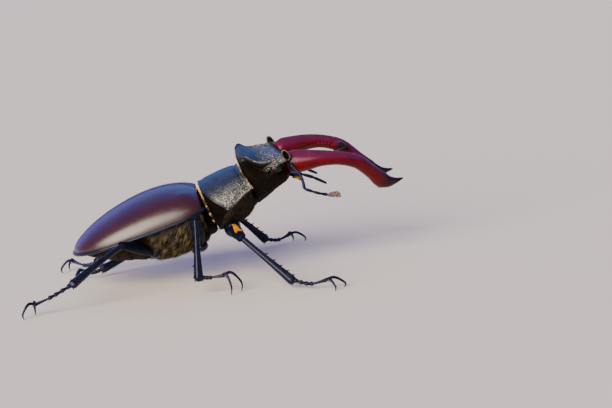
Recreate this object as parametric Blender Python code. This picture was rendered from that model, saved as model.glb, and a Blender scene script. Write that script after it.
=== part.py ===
"""Stag beetle (Lucanus cervus): a large male, still, standing on its six feet with its jaws held level.

Lengths below are in millimetres and are turned into metres by MM as each mesh is made.
+X is forward, +Y is the animal's left, +Z is up, and the feet stand on Z = 0.
The hind body, the prothorax and the head each have a frame of their own, an empty that its pieces hang from.
"""

from math import copysign, cos, exp, pi, radians, sin, sqrt, tau

import bmesh
import bpy
from mathutils import Matrix, Vector

MM = 0.001
GAP = 0.12  # between two pieces that meet

# Where the middle of the whole outline lies, seen from above, so that it comes to the origin.
CENTRE_X = -20.54
CENTRE_Y = -0.02

# Frames: place of the origin and turns about X, Y and Z in degrees.
HIND_PLACE, HIND_TURN = (-24.5, 0.0, 15.6), (0.0, -15.0, 0.0)
FORE_PLACE, FORE_TURN = (-19.0, 0.0, 17.1), (0.0, -20.0, 0.0)
HEAD_PLACE, HEAD_TURN = (-9.5, 0.0, 23.2), (7.0, 0.0, 7.0)
SKULL_TURN = (4.5, 0.0, 7.0)

# Wing cases
ELYTRA_FRONT = 1.6
ELYTRA_LENGTH = 30.4
ELYTRA_HALF_WIDTH = 12.1
ELYTRA_HEIGHT = 7.0
ELYTRA_CREST = -9.0  # where the back is highest
CREST_REACH = 13.1  # how far ahead of the crest the curve of the back would come down to the rim
BACK_POWER, TAIL_POWER, TAIL_ROOT = 2.2, 1.7, 0.625  # the curve of the back ahead of the crest and behind it
RIM_POWER = 4.2  # how square the tail end is, seen from above
SHOULDER_DEPTH, SHOULDER_LENGTH = 0.16, 1.8
MARGIN_LEVEL = 0.6
MARGIN_RISE = 0.6  # from there to the shoulder
SHELL = 0.9
SHELL_POWER = 2.2
SCUTELLUM_HALF_WIDTH = 2.0
SCUTELLUM_LENGTH = 3.4

# Chest and belly
WAIST = -11.0  # where the hind coxae part the chest from the belly
TRUNK_POWER = 1.9  # how square the underside is
TRUNK_INSET, TRUNK_DROP = 0.5, 0.4  # room between the trunk and the wing cases, at the sides and above
BELLY_LENGTH = 15.6
# Its front end: (along, half width, top, bottom)
CHEST_FRONT = [(1.5, 8.4, 4.0, -6.6), (2.2, 7.8, 3.7, -6.1), (2.35, 7.2, 3.4, -5.5)]
CHEST_LEAN = 0.11

# Underside of the chest and belly: (along, lowest point)
UNDERSIDE = [(1.7, -6.3), (-1.0, -7.5), (-6.0, -8.2), (-11.0, -7.6), (-16.0, -6.1), (-21.0, -4.2), (-27.0, -0.6)]

# Prothorax: (along at the top, half width, top, side edge, bottom, how far the side edge is ahead of the top)
PROTHORAX = [
    (-2.8, 10.6, 5.6, -0.6, -6.0, 3.4),
    (-1.6, 10.85, 5.75, -0.65, -6.2, 2.8),
    (0.4, 10.8, 5.8, -0.5, -6.4, 1.7),
    (2.6, 10.4, 5.8, -0.1, -6.3, 0.9),
    (4.8, 9.6, 5.65, 0.45, -5.6, 0.55),
    (6.5, 8.5, 5.35, 0.8, -4.4, 0.88),
]
COLLAR = (-3.0, 8.1, 5.4, -0.3, -6.2, 0.0)  # the end of its neck behind, as above
PROTHORAX_POWERS = (2.1, 1.5)
AHEAD_POWER = 1.6
EDGE_SHRINK = 0.95  # how far the side edge overhangs

# Head: (along, lean back, turn, crown, ridge out, ridge up, hollow out, hollow up, cheek out, cheek up, throat)
HEAD = [
    (-4.20, 0.36, 0.08, 4.25, 4.4, 4.35, 4.8, 3.6, 6.4, -0.4, -7.4),
    (-3.60, 0.34, 0.08, 4.6, 6.1, 4.7, 5.2, 3.4, 7.1, -0.8, -7.7),
    (-2.80, 0.31, 0.06, 4.55, 7.5, 4.55, 5.8, 2.7, 7.8, -1.2, -7.3),
    (-1.90, 0.28, 0.04, 4.40, 8.2, 4.0, 6.3, 2.0, 8.1, -1.5, -6.8),
    (-0.95, 0.24, 0.02, 4.25, 8.5, 3.55, 6.7, 1.5, 8.3, -1.6, -6.3),
    (0.15, 0.19, 0.0, 4.15, 8.6, 3.45, 7.0, 1.2, 8.4, -1.5, -5.6),
    (1.05, 0.16, 0.0, 4.10, 8.4, 3.55, 7.1, 1.2, 8.3, -1.3, -5.1),
    (2.45, 0.10, 0.0, 3.95, 7.8, 3.80, 7.1, 1.4, 8.0, -1.0, -4.3),
    (3.70, 0.06, 0.0, 3.75, 7.1, 4.05, 6.9, 1.6, 7.6, -0.8, -3.7),
    (4.50, 0.04, 0.0, 3.45, 6.7, 3.80, 6.6, 1.4, 7.1, -0.8, -3.2),
    (5.10, 0.02, 0.0, 3.05, 6.2, 3.20, 6.1, 1.1, 6.4, -0.8, -2.8),
    (5.60, 0.0, 0.0, 2.60, 5.4, 2.50, 5.3, 0.6, 5.4, -0.6, -2.4),
]
LEAN_LEVEL = 1.3  # above it the sections of the head lean back only a third as much
HORN_PLACE, HORN_SIZE = (4.3, 7.9, 3.9), (0.85, 0.45, 1.3)  # the ear-like lobe before each eye
BROW = [(4.2, 7.6, 3.0, 0.65), (2.8, 7.7, 2.65, 0.8), (1.1, 7.9, 1.8, 0.8), (-0.8, 7.8, 0.9, 0.5)]

# Jaw: (along, outward, up, half width, half height)
JAW = [
    (5.3, 5.1, 1.6, 1.9, 2.0),
    (6.5, 5.5, 1.9, 2.4, 2.5),
    (8.2, 6.2, 2.1, 2.4, 2.4),
    (12.3, 7.5, 2.5, 2.0, 1.75),
    (16.5, 8.0, 2.1, 1.75, 1.45),
    (20.5, 7.6, 0.65, 1.65, 1.5),
    (23.8, 6.55, -2.25, 1.55, 1.5),
    (26.1, 5.6, -4.55, 1.35, 1.75),
    (27.9, 5.1, -5.45, 1.1, 1.35),
    (29.8, 4.5, -5.65, 0.62, 0.7),
    (31.7, 4.2, -5.35, 0.26, 0.26),
]
# Its inner teeth: (along, outward, up, radius)
JAW_TOOTH = [(19.4, 6.9, 1.0, 1.25), (20.3, 5.3, 1.35, 0.85), (20.9, 3.6, 1.35, 0.27)]
JAW_TINE = [(25.9, 5.4, -4.7, 1.25), (26.2, 4.5, -5.9, 0.95), (26.7, 3.1, -6.8, 0.5), (27.0, 2.1, -7.1, 0.27)]

# Upper lip: (along, half width), and its section as (share of the half width, up)
LIP_ROWS = ((5.75, 2.4), (6.6, 1.8), (7.4, 0.7))
LIP_SECTION = ((1, 2.4), (0.5, 2.9), (-0.5, 2.9), (-1, 2.4), (-0.7, 1.7), (0.7, 1.7))

EYE_PLACE = (2.2, 7.8, 1.2)
EYE_SIZE = (1.2, 0.95, 0.95)

# Feelers of the left side: (along, outward, up, radius)
SCAPE = [(5.4, 7.9, 2.0, 0.28), (7.0, 9.9, -0.2, 0.3), (7.3, 11.4, -2.5, 0.4)]
FUNICLE = [(7.8, 11.8, -3.1, 0.33), (9.9, 12.3, -3.8, 0.3), (11.9, 12.5, -4.4, 0.36)]
CLUB = [(12.6, 12.5, -4.5, 0.3), (13.4, 12.4, -4.5, 0.9), (14.4, 12.4, -4.7, 0.9), (15.0, 12.4, -5.1, 0.3)]
JAW_PALP = [(6.0, 2.3, -0.8, 0.38), (8.8, 3.3, -1.8, 0.34), (11.2, 3.8, -2.7, 0.36), (13.9, 4.4, -4.2, 0.3)]
LIP_PALP = [(6.0, 0.9, -1.9, 0.32), (7.6, 1.3, -2.7, 0.3), (9.2, 1.7, -3.7, 0.28)]

# Legs, in the frame of the whole animal: coxa, knee, end of the shin, then the foot's way to its claws.
LEGS = {
    "front_right": ((-17.2, -5.2, 11.4), (-16.0, -17.0, 11.2), (-6.6, -23.4, 2.2),
                    [(-3.0, -25.4, 1.3), (0.2, -26.9, 2.0)], (1.9, -29.2), (4.2, -26.6)),
    "mid_right": ((-24.6, -5.6, 8.1), (-25.3, -16.0, 16.3), (-26.0, -20.0, 4.2),
                  [(-23.9, -20.2, 3.9), (-20.9, -20.8, 4.1)], (-19.5, -22.2), (-17.2, -19.8)),
    "hind_right": ((-34.6, -5.4, 7.7), (-41.4, -15.8, 12.0), (-52.3, -21.5, 6.1),
                   [(-57.0, -22.2, 4.0), (-60.8, -22.4, 2.7)], (-63.2, -24.0), (-61.0, -20.6)),
    "front_left": ((-17.2, 5.2, 11.4), (-16.8, 17.0, 11.6), (-8.6, 23.6, 2.4),
                   [(-5.4, 25.6, 1.4), (-2.6, 27.2, 2.0)], (-1.4, 29.2), (1.3, 27.6)),
    "mid_left": ((-24.6, 5.6, 8.1), (-34.0, 12.8, 6.6), (-46.8, 11.4, 2.0),
                 [(-49.2, 10.4, 1.5), (-51.4, 9.8, 2.1)], (-53.2, 11.2), (-53.0, 8.0)),
    "hind_left": ((-34.6, 5.4, 7.7), (-41.0, 15.9, 12.1), (-48.3, 17.4, 2.5),
                  [(-51.2, 18.8, 1.7), (-53.8, 20.4, 2.5)], (-55.2, 22.8), (-56.8, 20.2)),
}
THIGH_RADII = (0.8, 1.3, 1.45, 1.25, 0.95)
SHIN_RADII = (0.62, 0.6, 0.66, 0.8, 1.0)
FOOT_RADIUS = 0.36
CLAW_RADIUS = 0.28
COXA_SIZE = {"front": (1.9, 2.5, 2.2), "mid": (1.7, 2.2, 1.3), "hind": (1.5, 2.8, 1.3)}

COLOURS = {
    "chestnut": ((0.055, 0.012, 0.014), 0.3),
    "black": ((0.008, 0.009, 0.012), 0.35),
    "dark brown": ((0.03, 0.018, 0.01), 0.55),
    "crimson": ((0.16, 0.01, 0.012), 0.2),
    "eye": ((0.01, 0.008, 0.008), 0.12),
    "tan": ((0.35, 0.19, 0.14), 0.6),
}


def new_collection(name):
    collection = bpy.data.collections.new(name)
    bpy.context.scene.collection.children.link(collection)
    return collection


def material(name):
    found = bpy.data.materials.get(name)
    if found:
        return found
    colour, roughness = COLOURS[name]
    found = bpy.data.materials.new(name)
    found.use_nodes = True
    shader = found.node_tree.nodes["Principled BSDF"]
    shader.inputs["Base Color"].default_value = (*colour, 1.0)
    shader.inputs["Roughness"].default_value = roughness
    shader.inputs["Metallic"].default_value = 0.0
    return found


def empty_frame(name, place, turn, collection):
    frame = bpy.data.objects.new(name, None)
    frame.location = [length * MM for length in (place[0] - CENTRE_X, place[1] - CENTRE_Y, place[2])]
    frame.rotation_euler = [radians(angle) for angle in turn]
    collection.objects.link(frame)
    return frame


def finish_mesh(bm, name, collection, frame, colour):
    """Turns a bmesh in millimetres into a smooth-shaded object in metres, hung from its frame."""
    bmesh.ops.remove_doubles(bm, verts=bm.verts, dist=0.002)
    bmesh.ops.recalc_face_normals(bm, faces=bm.faces)
    bmesh.ops.scale(bm, vec=(MM, MM, MM), verts=bm.verts)
    mesh = bpy.data.meshes.new(name)
    bm.to_mesh(mesh)
    bm.free()
    mesh.shade_smooth()
    mesh.set_sharp_from_angle(angle=radians(40))
    mesh.materials.append(material(colour))
    piece = bpy.data.objects.new(name, mesh)
    piece.parent = frame
    collection.objects.link(piece)
    return piece


def edges_round(row):
    """The edges that join neighbours in a closed row of vertices."""
    return list({edge for vertex in row for edge in vertex.link_edges if edge.other_vert(vertex) in row})


def loft(bm, rings):
    """Extrudes one closed ring through the others, and closes both ends. Returns the new vertices."""
    start = bmesh.ops.create_circle(bm, segments=len(rings[0]), radius=1.0, cap_ends=True)["verts"]
    made = list(start)
    row = list(start)
    for vertex, point in zip(row, rings[0]):
        vertex.co = point
    for ring in rings[1:]:
        bmesh.ops.extrude_edge_only(bm, edges=edges_round(row))
        above = []
        for vertex in row:
            above.append(next(edge.other_vert(vertex) for edge in vertex.link_edges
                              if edge.other_vert(vertex) not in made))
        for vertex, point in zip(above, ring):
            vertex.co = point
        made += above
        row = above
    bmesh.ops.contextual_create(bm, geom=edges_round(row))
    return made


def blend(rows, steps):
    """Rows between the given rows, on a smooth curve through them, with a number of steps from each to the next."""
    smooth = []
    for index in range(len(rows) - 1):
        before = rows[max(index - 1, 0)]
        here, there = rows[index], rows[index + 1]
        after = rows[min(index + 2, len(rows) - 1)]
        for step in range(steps):
            t = step / steps
            smooth.append(tuple(
                0.5 * (2 * b + (c - a) * t + (2 * a - 5 * b + 4 * c - d) * t * t
                       + (3 * b - a - 3 * c + d) * t ** 3)
                for a, b, c, d in zip(before, here, there, after)))
    smooth.append(tuple(rows[-1]))
    return smooth


def section(half_width, top, side, bottom, count, upper_power, lower_power):
    """Points (across, up) round a body section that is widest at its side line."""
    points = []
    for step in range(count):
        angle = tau * step / count
        power = upper_power if sin(angle) > 0 else lower_power
        across = copysign(abs(cos(angle)) ** (2 / power), cos(angle))
        rise = copysign(abs(sin(angle)) ** (2 / power), sin(angle))
        reach = top - side if rise > 0 else side - bottom
        points.append((half_width * across, side + reach * rise))
    return points


def trunk_rings(rows, count):
    """Rings from rows of (along, lean back, half width, top, side, bottom)."""
    return [[Vector((along - lean * up, across, up))
             for across, up in section(half_width, top, side, bottom, count, SHELL_POWER, TRUNK_POWER)]
            for along, lean, half_width, top, side, bottom in rows]


def sweep(bm, points, radii, sides, flat=1.0, rounded=True):
    """A limb along points, round or flattened, with its own radius at each point and domed ends."""
    points = [Vector(point) for point in points]
    stations = []
    directions = []
    for index in range(len(points)):
        ahead = points[min(index + 1, len(points) - 1)]
        behind = points[max(index - 1, 0)]
        directions.append((ahead - behind).normalized())
    for index, (point, direction, radius) in enumerate(zip(points, directions, radii)):
        if rounded and index == 0:
            stations.append((point - direction * radius * 0.85, direction, radius * 0.5))
        stations.append((point, direction, radius))
        if rounded and index == len(points) - 1:
            stations.append((point + direction * radius * 0.85, direction, radius * 0.5))
    side = directions[0].orthogonal().normalized()
    rings = []
    for point, direction, radius in stations:
        side = (side - direction * side.dot(direction)).normalized()
        other = direction.cross(side)
        rings.append([
            point + side * radius * cos(tau * step / sides) + other * radius * flat * sin(tau * step / sides)
            for step in range(sides)])
    return loft(bm, rings)


def limb(name, rows, steps, sides, collection, frame, colour, thicker=0.0):
    """A limb from rows of (along, outward, up, radius)."""
    bm = bmesh.new()
    smooth = blend(rows, steps)
    sweep(bm, [row[:3] for row in smooth], [row[3] + thicker for row in smooth], sides)
    return finish_mesh(bm, name, collection, frame, colour)


def as_cutter(piece):
    piece.hide_render = True
    piece.display_type = "WIRE"
    return piece


def subtract(body, cutter):
    """Hollows the body where the cutter, a neighbour with the gap round it, runs through it."""
    cut = body.modifiers.new("Clearance", "BOOLEAN")
    cut.operation = "DIFFERENCE"
    cut.solver = "EXACT"
    cut.object = cutter


def evaluated_mesh(piece):
    """Applies a piece's modifiers, so that its mesh is the finished shape."""
    graph = bpy.context.evaluated_depsgraph_get()
    mesh = bpy.data.meshes.new_from_object(piece.evaluated_get(graph))
    piece.modifiers.clear()
    piece.data = mesh
    return mesh


def join_solids(base, additions):
    """Unites the additions with the base piece and removes them."""
    for addition in additions:
        union = base.modifiers.new("Union", "BOOLEAN")
        union.operation = "UNION"
        union.solver = "EXACT"
        union.use_self = True
        union.object = addition
    evaluated_mesh(base)
    for addition in additions:
        bpy.data.objects.remove(addition)
    bm = bmesh.new()
    bm.from_mesh(base.data)
    bmesh.ops.remove_doubles(bm, verts=bm.verts, dist=MM * 0.003)
    bmesh.ops.dissolve_degenerate(bm, edges=bm.edges, dist=MM * 0.002)
    bm.to_mesh(base.data)
    bm.free()
    return base


def elytra_half_width(along):
    behind = min((ELYTRA_FRONT - along) / ELYTRA_LENGTH, 1.0)
    shoulder = 1 - SHOULDER_DEPTH * exp(-(ELYTRA_FRONT - along) / SHOULDER_LENGTH)
    return ELYTRA_HALF_WIDTH * sqrt(1 - behind ** RIM_POWER) * shoulder


def margin_level(along):
    """The height of the wing cases' side edge, which rises toward the shoulder."""
    ahead = (along - ELYTRA_CREST) / (ELYTRA_FRONT - ELYTRA_CREST)
    return MARGIN_LEVEL + MARGIN_RISE * max(ahead, 0.0) ** 3


def elytra_top(along):
    if along < ELYTRA_CREST:
        reach = ELYTRA_LENGTH - ELYTRA_FRONT + ELYTRA_CREST
        fall = min((ELYTRA_CREST - along) / reach, 1.0)
        return MARGIN_LEVEL + ELYTRA_HEIGHT * (1 - fall ** TAIL_POWER) ** TAIL_ROOT
    fall = (along - ELYTRA_CREST) / CREST_REACH
    return MARGIN_LEVEL + ELYTRA_HEIGHT * sqrt(1 - fall ** BACK_POWER)


def underside(along):
    """The lowest point of the thorax and belly at this place."""
    rows = blend(UNDERSIDE, 8)
    for (u1, w1), (u0, w0) in zip(rows, rows[1:]):
        if u0 <= along <= u1:
            return w0 + (w1 - w0) * (along - u0) / (u1 - u0)
    return rows[0][1] if along > 0 else rows[-1][1]


def inner_edge(along):
    """How far from the middle a wing case begins: at the seam, or beside the scutellum."""
    into = (ELYTRA_FRONT - along) / SCUTELLUM_LENGTH
    return GAP / 2 + max(0.0, SCUTELLUM_HALF_WIDTH * (1 - into))


def elytron_ring(along, side, arc_steps):
    """A closed section of one wing case: over the back, round the rim, and back under the shell."""
    half_width = elytra_half_width(along)
    level = margin_level(along)
    height = elytra_top(along) - level
    thickness = min(SHELL, 0.35 * half_width, 0.45 * height + 0.05)
    seam = min(inner_edge(along), 0.4 * half_width)

    def arc(width, rise, steps):
        start = (seam / width) ** (SHELL_POWER / 2)
        first = pi / 2 - start
        for step in range(steps + 1):
            angle = first * (1 - step / steps)
            across = width * abs(cos(angle)) ** (2 / SHELL_POWER)
            yield max(across, seam), level + rise * abs(sin(angle)) ** (2 / SHELL_POWER)

    points = list(arc(half_width, height, arc_steps))
    points.append((half_width - 0.35 * thickness, level - 0.9 * thickness))
    points.append((half_width - 1.15 * thickness, level - 0.7 * thickness))
    points += reversed(list(arc(half_width - thickness, height - thickness, arc_steps - 2)))
    return [Vector((along, side * across, up)) for across, up in points]


def make_elytra(collection, frame):
    stations = [ELYTRA_FRONT - ELYTRA_LENGTH * sin(pi / 2 * step / 15) for step in range(14)]
    stations.append(ELYTRA_FRONT - ELYTRA_LENGTH * 0.992)
    for name, side in (("elytron_right", -1), ("elytron_left", 1)):
        bm = bmesh.new()
        loft(bm, [elytron_ring(along, side, 8) for along in stations])
        finish_mesh(bm, name, collection, frame, "chestnut")


def trunk_row(along):
    half_width = elytra_half_width(along) - SHELL - TRUNK_INSET
    top = elytra_top(along) - SHELL - TRUNK_DROP
    return (along, 0.0, half_width, top, margin_level(along), underside(along))


def make_trunk(collection, frame):
    """The chest under the front of the wing cases, and the belly behind it."""
    bm = bmesh.new()
    rows = [trunk_row(along) for along in (WAIST, -8.5, -6.0, -3.5, -1.0, 0.6)]
    rows += [(along, CHEST_LEAN, half_width, top, MARGIN_LEVEL, bottom)
             for along, half_width, top, bottom in CHEST_FRONT]
    loft(bm, trunk_rings(rows, 20))
    thorax = finish_mesh(bm, "thorax", collection, frame, "black")

    bm = bmesh.new()
    start = WAIST - 0.3
    rows = [trunk_row(start - (BELLY_LENGTH - 0.6) * step / 6) for step in range(7)]
    along, lean, half_width, top, level, bottom = trunk_row(start - BELLY_LENGTH)
    rows.append((along, lean, half_width * 0.6, top * 0.55, level - 0.3, bottom * 0.6))
    loft(bm, trunk_rings(rows, 20))
    abdomen = finish_mesh(bm, "abdomen", collection, frame, "dark brown")
    return thorax, abdomen


def make_scutellum(collection, frame):
    """The small shield between the fronts of the wing cases."""
    bm = bmesh.new()
    rings = []
    for along in (ELYTRA_FRONT + 0.5, ELYTRA_FRONT, ELYTRA_FRONT - 1.2, ELYTRA_FRONT - SCUTELLUM_LENGTH + 0.5):
        half = inner_edge(min(along, ELYTRA_FRONT)) - GAP
        top = elytra_top(min(along, ELYTRA_FRONT)) - 0.1
        rings.append([Vector((along, across * half, top + lift)) for across, lift in
                      ((1, -0.15), (0.5, 0.0), (-0.5, 0.0), (-1, -0.15), (-1, -0.8), (1, -0.8))])
    loft(bm, rings)
    return finish_mesh(bm, "scutellum", collection, frame, "black")


def prothorax_ring(row, count, shrink=1.0):
    """A ring of the prothorax, whose sides reach ahead of its top and bottom."""
    along, half_width, top, side, bottom, ahead = row
    ring = []
    for across, up in section(half_width * shrink, top * shrink, side, bottom, count, *PROTHORAX_POWERS):
        share = (up - side) / (top - side) if up > side else (side - up) / (side - bottom)
        ring.append(Vector((along + ahead * max(0.0, 1 - share) ** AHEAD_POWER, across, up)))
    return ring


def make_prothorax(collection, frame):
    rings = [prothorax_ring(COLLAR, 24), prothorax_ring(PROTHORAX[0], 24, EDGE_SHRINK)]
    rings += [prothorax_ring(row, 24) for row in PROTHORAX]
    bm = bmesh.new()
    loft(bm, rings)
    return finish_mesh(bm, "prothorax", collection, frame, "black")


def head_ring(row):
    """A section of the head, from the crown over the ridge and the hollow to the throat and up the other side."""
    along, lean, turn, crown, wide, ridge, hollow_out, hollow_up, cheek_out, cheek_up, throat = row
    half = [
        (0.0, crown),
        (0.45 * wide, 0.75 * crown + 0.25 * ridge - 0.1),
        (wide - 1.15, ridge - 0.35),
        (wide - 0.5, ridge),
        (wide, ridge - 0.5),
        (wide - 0.55, ridge - 1.0),
        (hollow_out, hollow_up),
        (cheek_out - 0.4, (hollow_up + cheek_up) / 2),
        (cheek_out, cheek_up),
        (0.86 * cheek_out, 0.45 * cheek_up + 0.55 * throat),
        (0.5 * cheek_out, 0.12 * cheek_up + 0.88 * throat),
        (0.0, throat),
    ]
    ring = []
    for across, up in half + [(-across, up) for across, up in reversed(half[1:-1])]:
        leaning = lean * (min(up, LEAN_LEVEL) + max(0.0, up - LEAN_LEVEL) / 3)
        ring.append(Vector((along - leaning + turn * across, across, up)))
    return ring


def make_head(collection, frame):
    """The skull with its brows and the ear-like lobes before the eyes."""
    bm = bmesh.new()
    loft(bm, [head_ring(row) for row in HEAD])
    head = finish_mesh(bm, "head", collection, frame, "black")
    lumps = []
    for side in (-1, 1):
        place = (HORN_PLACE[0], side * HORN_PLACE[1], HORN_PLACE[2])
        lumps.append(make_ball("horn", place, HORN_SIZE, collection, frame, "black"))
        lumps.append(limb("brow", mirrored(BROW, side), 1, 6, collection, frame, "black"))
    return join_solids(head, lumps)


def make_ball(name, centre, size, collection, frame, colour, thicker=0.0):
    bm = bmesh.new()
    bmesh.ops.create_uvsphere(bm, u_segments=8, v_segments=6, radius=1.0)
    bmesh.ops.scale(bm, vec=[length + thicker for length in size], verts=bm.verts)
    bmesh.ops.translate(bm, vec=centre, verts=bm.verts)
    return finish_mesh(bm, name, collection, frame, colour)


def mirrored(rows, side):
    return [(row[0], row[1] * side, *row[2:]) for row in rows]


def jaw_mesh(side, thicker=0.0):
    """The swept blade of one jaw, an oval that stays upright as the jaw bows out and curves down."""
    bm = bmesh.new()
    rows = blend(mirrored(JAW, side), 2)
    rings = []
    for index, (along, out, up, half_width, half_height) in enumerate(rows):
        ahead = Vector(rows[min(index + 1, len(rows) - 1)][:3])
        behind = Vector(rows[max(index - 1, 0)][:3])
        forward = (ahead - behind).normalized()
        outward = Vector((0, side, 0))
        outward = (outward - forward * outward.dot(forward)).normalized()
        upward = outward.cross(forward) * -side
        centre = Vector((along, out, up))
        wide, high = half_width + thicker, half_height + thicker
        rings.append([centre + outward * wide * cos(tau * step / 10) + upward * high * sin(tau * step / 10)
                      for step in range(10)])
    loft(bm, rings)
    return bm


def make_jaw(name, side, head, collection, cutters, frame):
    jaw = finish_mesh(jaw_mesh(side), name, collection, frame, "crimson")
    spikes = [limb(name + part, mirrored(part_rows, side), 1, 8, collection, frame, "crimson")
              for part, part_rows in (("_tooth", JAW_TOOTH), ("_tine", JAW_TINE))]
    join_solids(jaw, spikes)
    subtract(head, as_cutter(finish_mesh(jaw_mesh(side, GAP), "jaw_room", cutters, frame, "crimson")))


def make_face(head, collection, cutters, frame, skull_frame):
    """Eyes, jaws, feelers, palps and the upper lip."""
    for name, side in (("right", -1), ("left", 1)):
        eye_place = (EYE_PLACE[0], side * EYE_PLACE[1], EYE_PLACE[2])
        make_ball("eye_" + name, eye_place, EYE_SIZE, collection, skull_frame, "eye")
        subtract(head, as_cutter(make_ball("eye_room", eye_place, EYE_SIZE, cutters, skull_frame, "eye", GAP)))
        make_jaw("mandible_" + name, side, head, collection, cutters, frame)
        limb("antenna_scape_" + name, mirrored(SCAPE, side), 1, 6, collection, frame, "black")
        limb("antenna_funicle_" + name, mirrored(FUNICLE, side), 1, 6, collection, frame, "black")
        limb("antenna_club_" + name, mirrored(CLUB, side), 1, 8, collection, frame, "tan")
        limb("maxillary_palp_" + name, mirrored(JAW_PALP, side), 1, 6, collection, frame, "black")
        limb("labial_palp_" + name, mirrored(LIP_PALP, side), 1, 6, collection, frame, "black")
    bm = bmesh.new()
    loft(bm, [[Vector((along, across * half, up)) for across, up in LIP_SECTION] for along, half in LIP_ROWS])
    finish_mesh(bm, "labrum", collection, skull_frame, "black")


def toward(start, end, distance):
    start, end = Vector(start), Vector(end)
    return start + (end - start).normalized() * distance


def foot_rows(ankle, arch):
    """The beaded joints of the foot, each swelling toward its far end."""
    route = blend([tuple(ankle), *arch], 4)
    return [(*point, FOOT_RADIUS * (1.25 if step % 2 else 0.9)) for step, point in enumerate(route)]


def make_claws(last, feet, collection, whole):
    claws = []
    for number, (claw_x, claw_y) in enumerate(feet):
        root = toward(last, (claw_x, claw_y, last.z), 0.15)
        middle = (last + Vector((claw_x, claw_y, last.z))) / 2 + Vector((0, 0, 0.35))
        rows = [(*root, CLAW_RADIUS * 1.15), (*middle, CLAW_RADIUS * 1.1),
                (claw_x, claw_y, last.z * 0.45, CLAW_RADIUS), (claw_x, claw_y, 0.0, CLAW_RADIUS)]
        claws.append(limb(f"claw_{number}", rows, 2, 5, collection, whole, "black"))
    return claws


def make_leg(name, joints, bodies, collection, cutters, whole):
    """One leg. Each piece is hollowed for the one before it, and the bodies for the coxa and the thigh."""
    coxa, knee, ankle, arch, outer_claw, inner_claw = joints
    kind = name.split("_")[0]
    size = COXA_SIZE[kind]
    ground = bpy.data.objects["ground_cutter"]

    make_ball("coxa_" + name, coxa, size, collection, whole, "black")
    coxa_room = as_cutter(make_ball("coxa_room_" + name, coxa, size, cutters, whole, "black", GAP))

    start, end = Vector(coxa), Vector(knee)
    thigh = [(*start.lerp(end, step / 4), radius) for step, radius in enumerate(THIGH_RADII)]
    femur = limb("femur_" + name, thigh, 1, 8, collection, whole, "black")
    thigh_room = as_cutter(limb("thigh_room_" + name, thigh, 1, 8, cutters, whole, "black", GAP))
    subtract(femur, coxa_room)
    for body in bodies:
        subtract(body, coxa_room)
        subtract(body, thigh_room)

    start, end = Vector(knee), Vector(ankle)
    shin = [(*start.lerp(end, step / 4), radius) for step, radius in enumerate(SHIN_RADII)]
    tibia = limb("tibia_" + name, shin, 1, 8, collection, whole, "black")
    shin_room = as_cutter(limb("shin_room_" + name, shin, 1, 8, cutters, whole, "black", GAP))
    subtract(tibia, thigh_room)

    foot = limb("tarsus_" + name, foot_rows(ankle, arch), 1, 6, collection, whole, "black")
    join_solids(foot, make_claws(Vector(arch[-1]), (outer_claw, inner_claw), collection, whole))
    subtract(foot, shin_room)
    subtract(foot, ground)


def make_ground(cutters):
    """The block below the floor, which cuts a small flat under every claw."""
    bm = bmesh.new()
    bmesh.ops.create_cube(bm, size=1.0, matrix=Matrix.LocRotScale((0, 0, -5), None, (160, 160, 10)))
    as_cutter(finish_mesh(bm, "ground_cutter", cutters, None, "black"))


def main():
    for leftover in list(bpy.data.objects):
        bpy.data.objects.remove(leftover)
    beetle = new_collection("stag_beetle")
    cutters = new_collection("cutters")
    whole = empty_frame("whole_frame", (0.0, 0.0, 0.0), (0.0, 0.0, 0.0), beetle)
    hind = empty_frame("hind_frame", HIND_PLACE, HIND_TURN, beetle)
    fore = empty_frame("fore_frame", FORE_PLACE, FORE_TURN, beetle)
    head_frame = empty_frame("head_frame", HEAD_PLACE, HEAD_TURN, beetle)
    skull_frame = empty_frame("skull_frame", HEAD_PLACE, SKULL_TURN, beetle)
    bpy.context.view_layer.update()

    make_elytra(beetle, hind)
    thorax, abdomen = make_trunk(beetle, hind)
    make_scutellum(beetle, hind)
    prothorax = make_prothorax(beetle, fore)
    head = make_head(beetle, skull_frame)
    make_face(head, beetle, cutters, head_frame, skull_frame)
    make_ground(cutters)
    bodies = {"front": [prothorax], "mid": [thorax, abdomen], "hind": [thorax, abdomen]}
    for name, joints in LEGS.items():
        make_leg(name, joints, bodies[name.split("_")[0]], beetle, cutters, whole)


main()
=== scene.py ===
"""Stag beetle (Lucanus cervus): a large male, standing with its jaws held level, finished for show.

Shapes are drawn in millimetres in the frame of the hind body, the prothorax, the head or the whole animal,
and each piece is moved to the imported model's own frame, in metres, as it is finished.
+X is forward, +Y is the animal's left and +Z is up.
"""

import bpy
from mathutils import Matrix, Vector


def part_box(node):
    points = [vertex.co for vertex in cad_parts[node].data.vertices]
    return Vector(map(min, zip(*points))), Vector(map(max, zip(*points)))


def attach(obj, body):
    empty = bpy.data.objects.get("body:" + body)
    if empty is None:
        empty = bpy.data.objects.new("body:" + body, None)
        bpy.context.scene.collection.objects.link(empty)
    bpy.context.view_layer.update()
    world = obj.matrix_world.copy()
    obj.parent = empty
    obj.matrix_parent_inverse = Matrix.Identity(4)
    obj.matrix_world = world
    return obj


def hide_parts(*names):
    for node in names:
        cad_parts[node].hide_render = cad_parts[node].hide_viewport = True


bl_info = {
    "name": "Stag Beetle",
    "version": (1, 0, 0),
    "blender": (4, 5, 0),
    "location": "View3D > Sidebar > Beetle",
    "description": "Makes a life-size stag beetle, its coat of hair and a plain stage for it",
    "category": "Add Mesh",
}

from math import acos, atan2, copysign, cos, exp, pi, radians, sin, sqrt, tau

import bmesh
import bpy
import numpy as np
from bpy.props import FloatProperty, FloatVectorProperty, IntProperty, PointerProperty
from mathutils import Euler, Matrix, Vector, kdtree, noise

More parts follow.
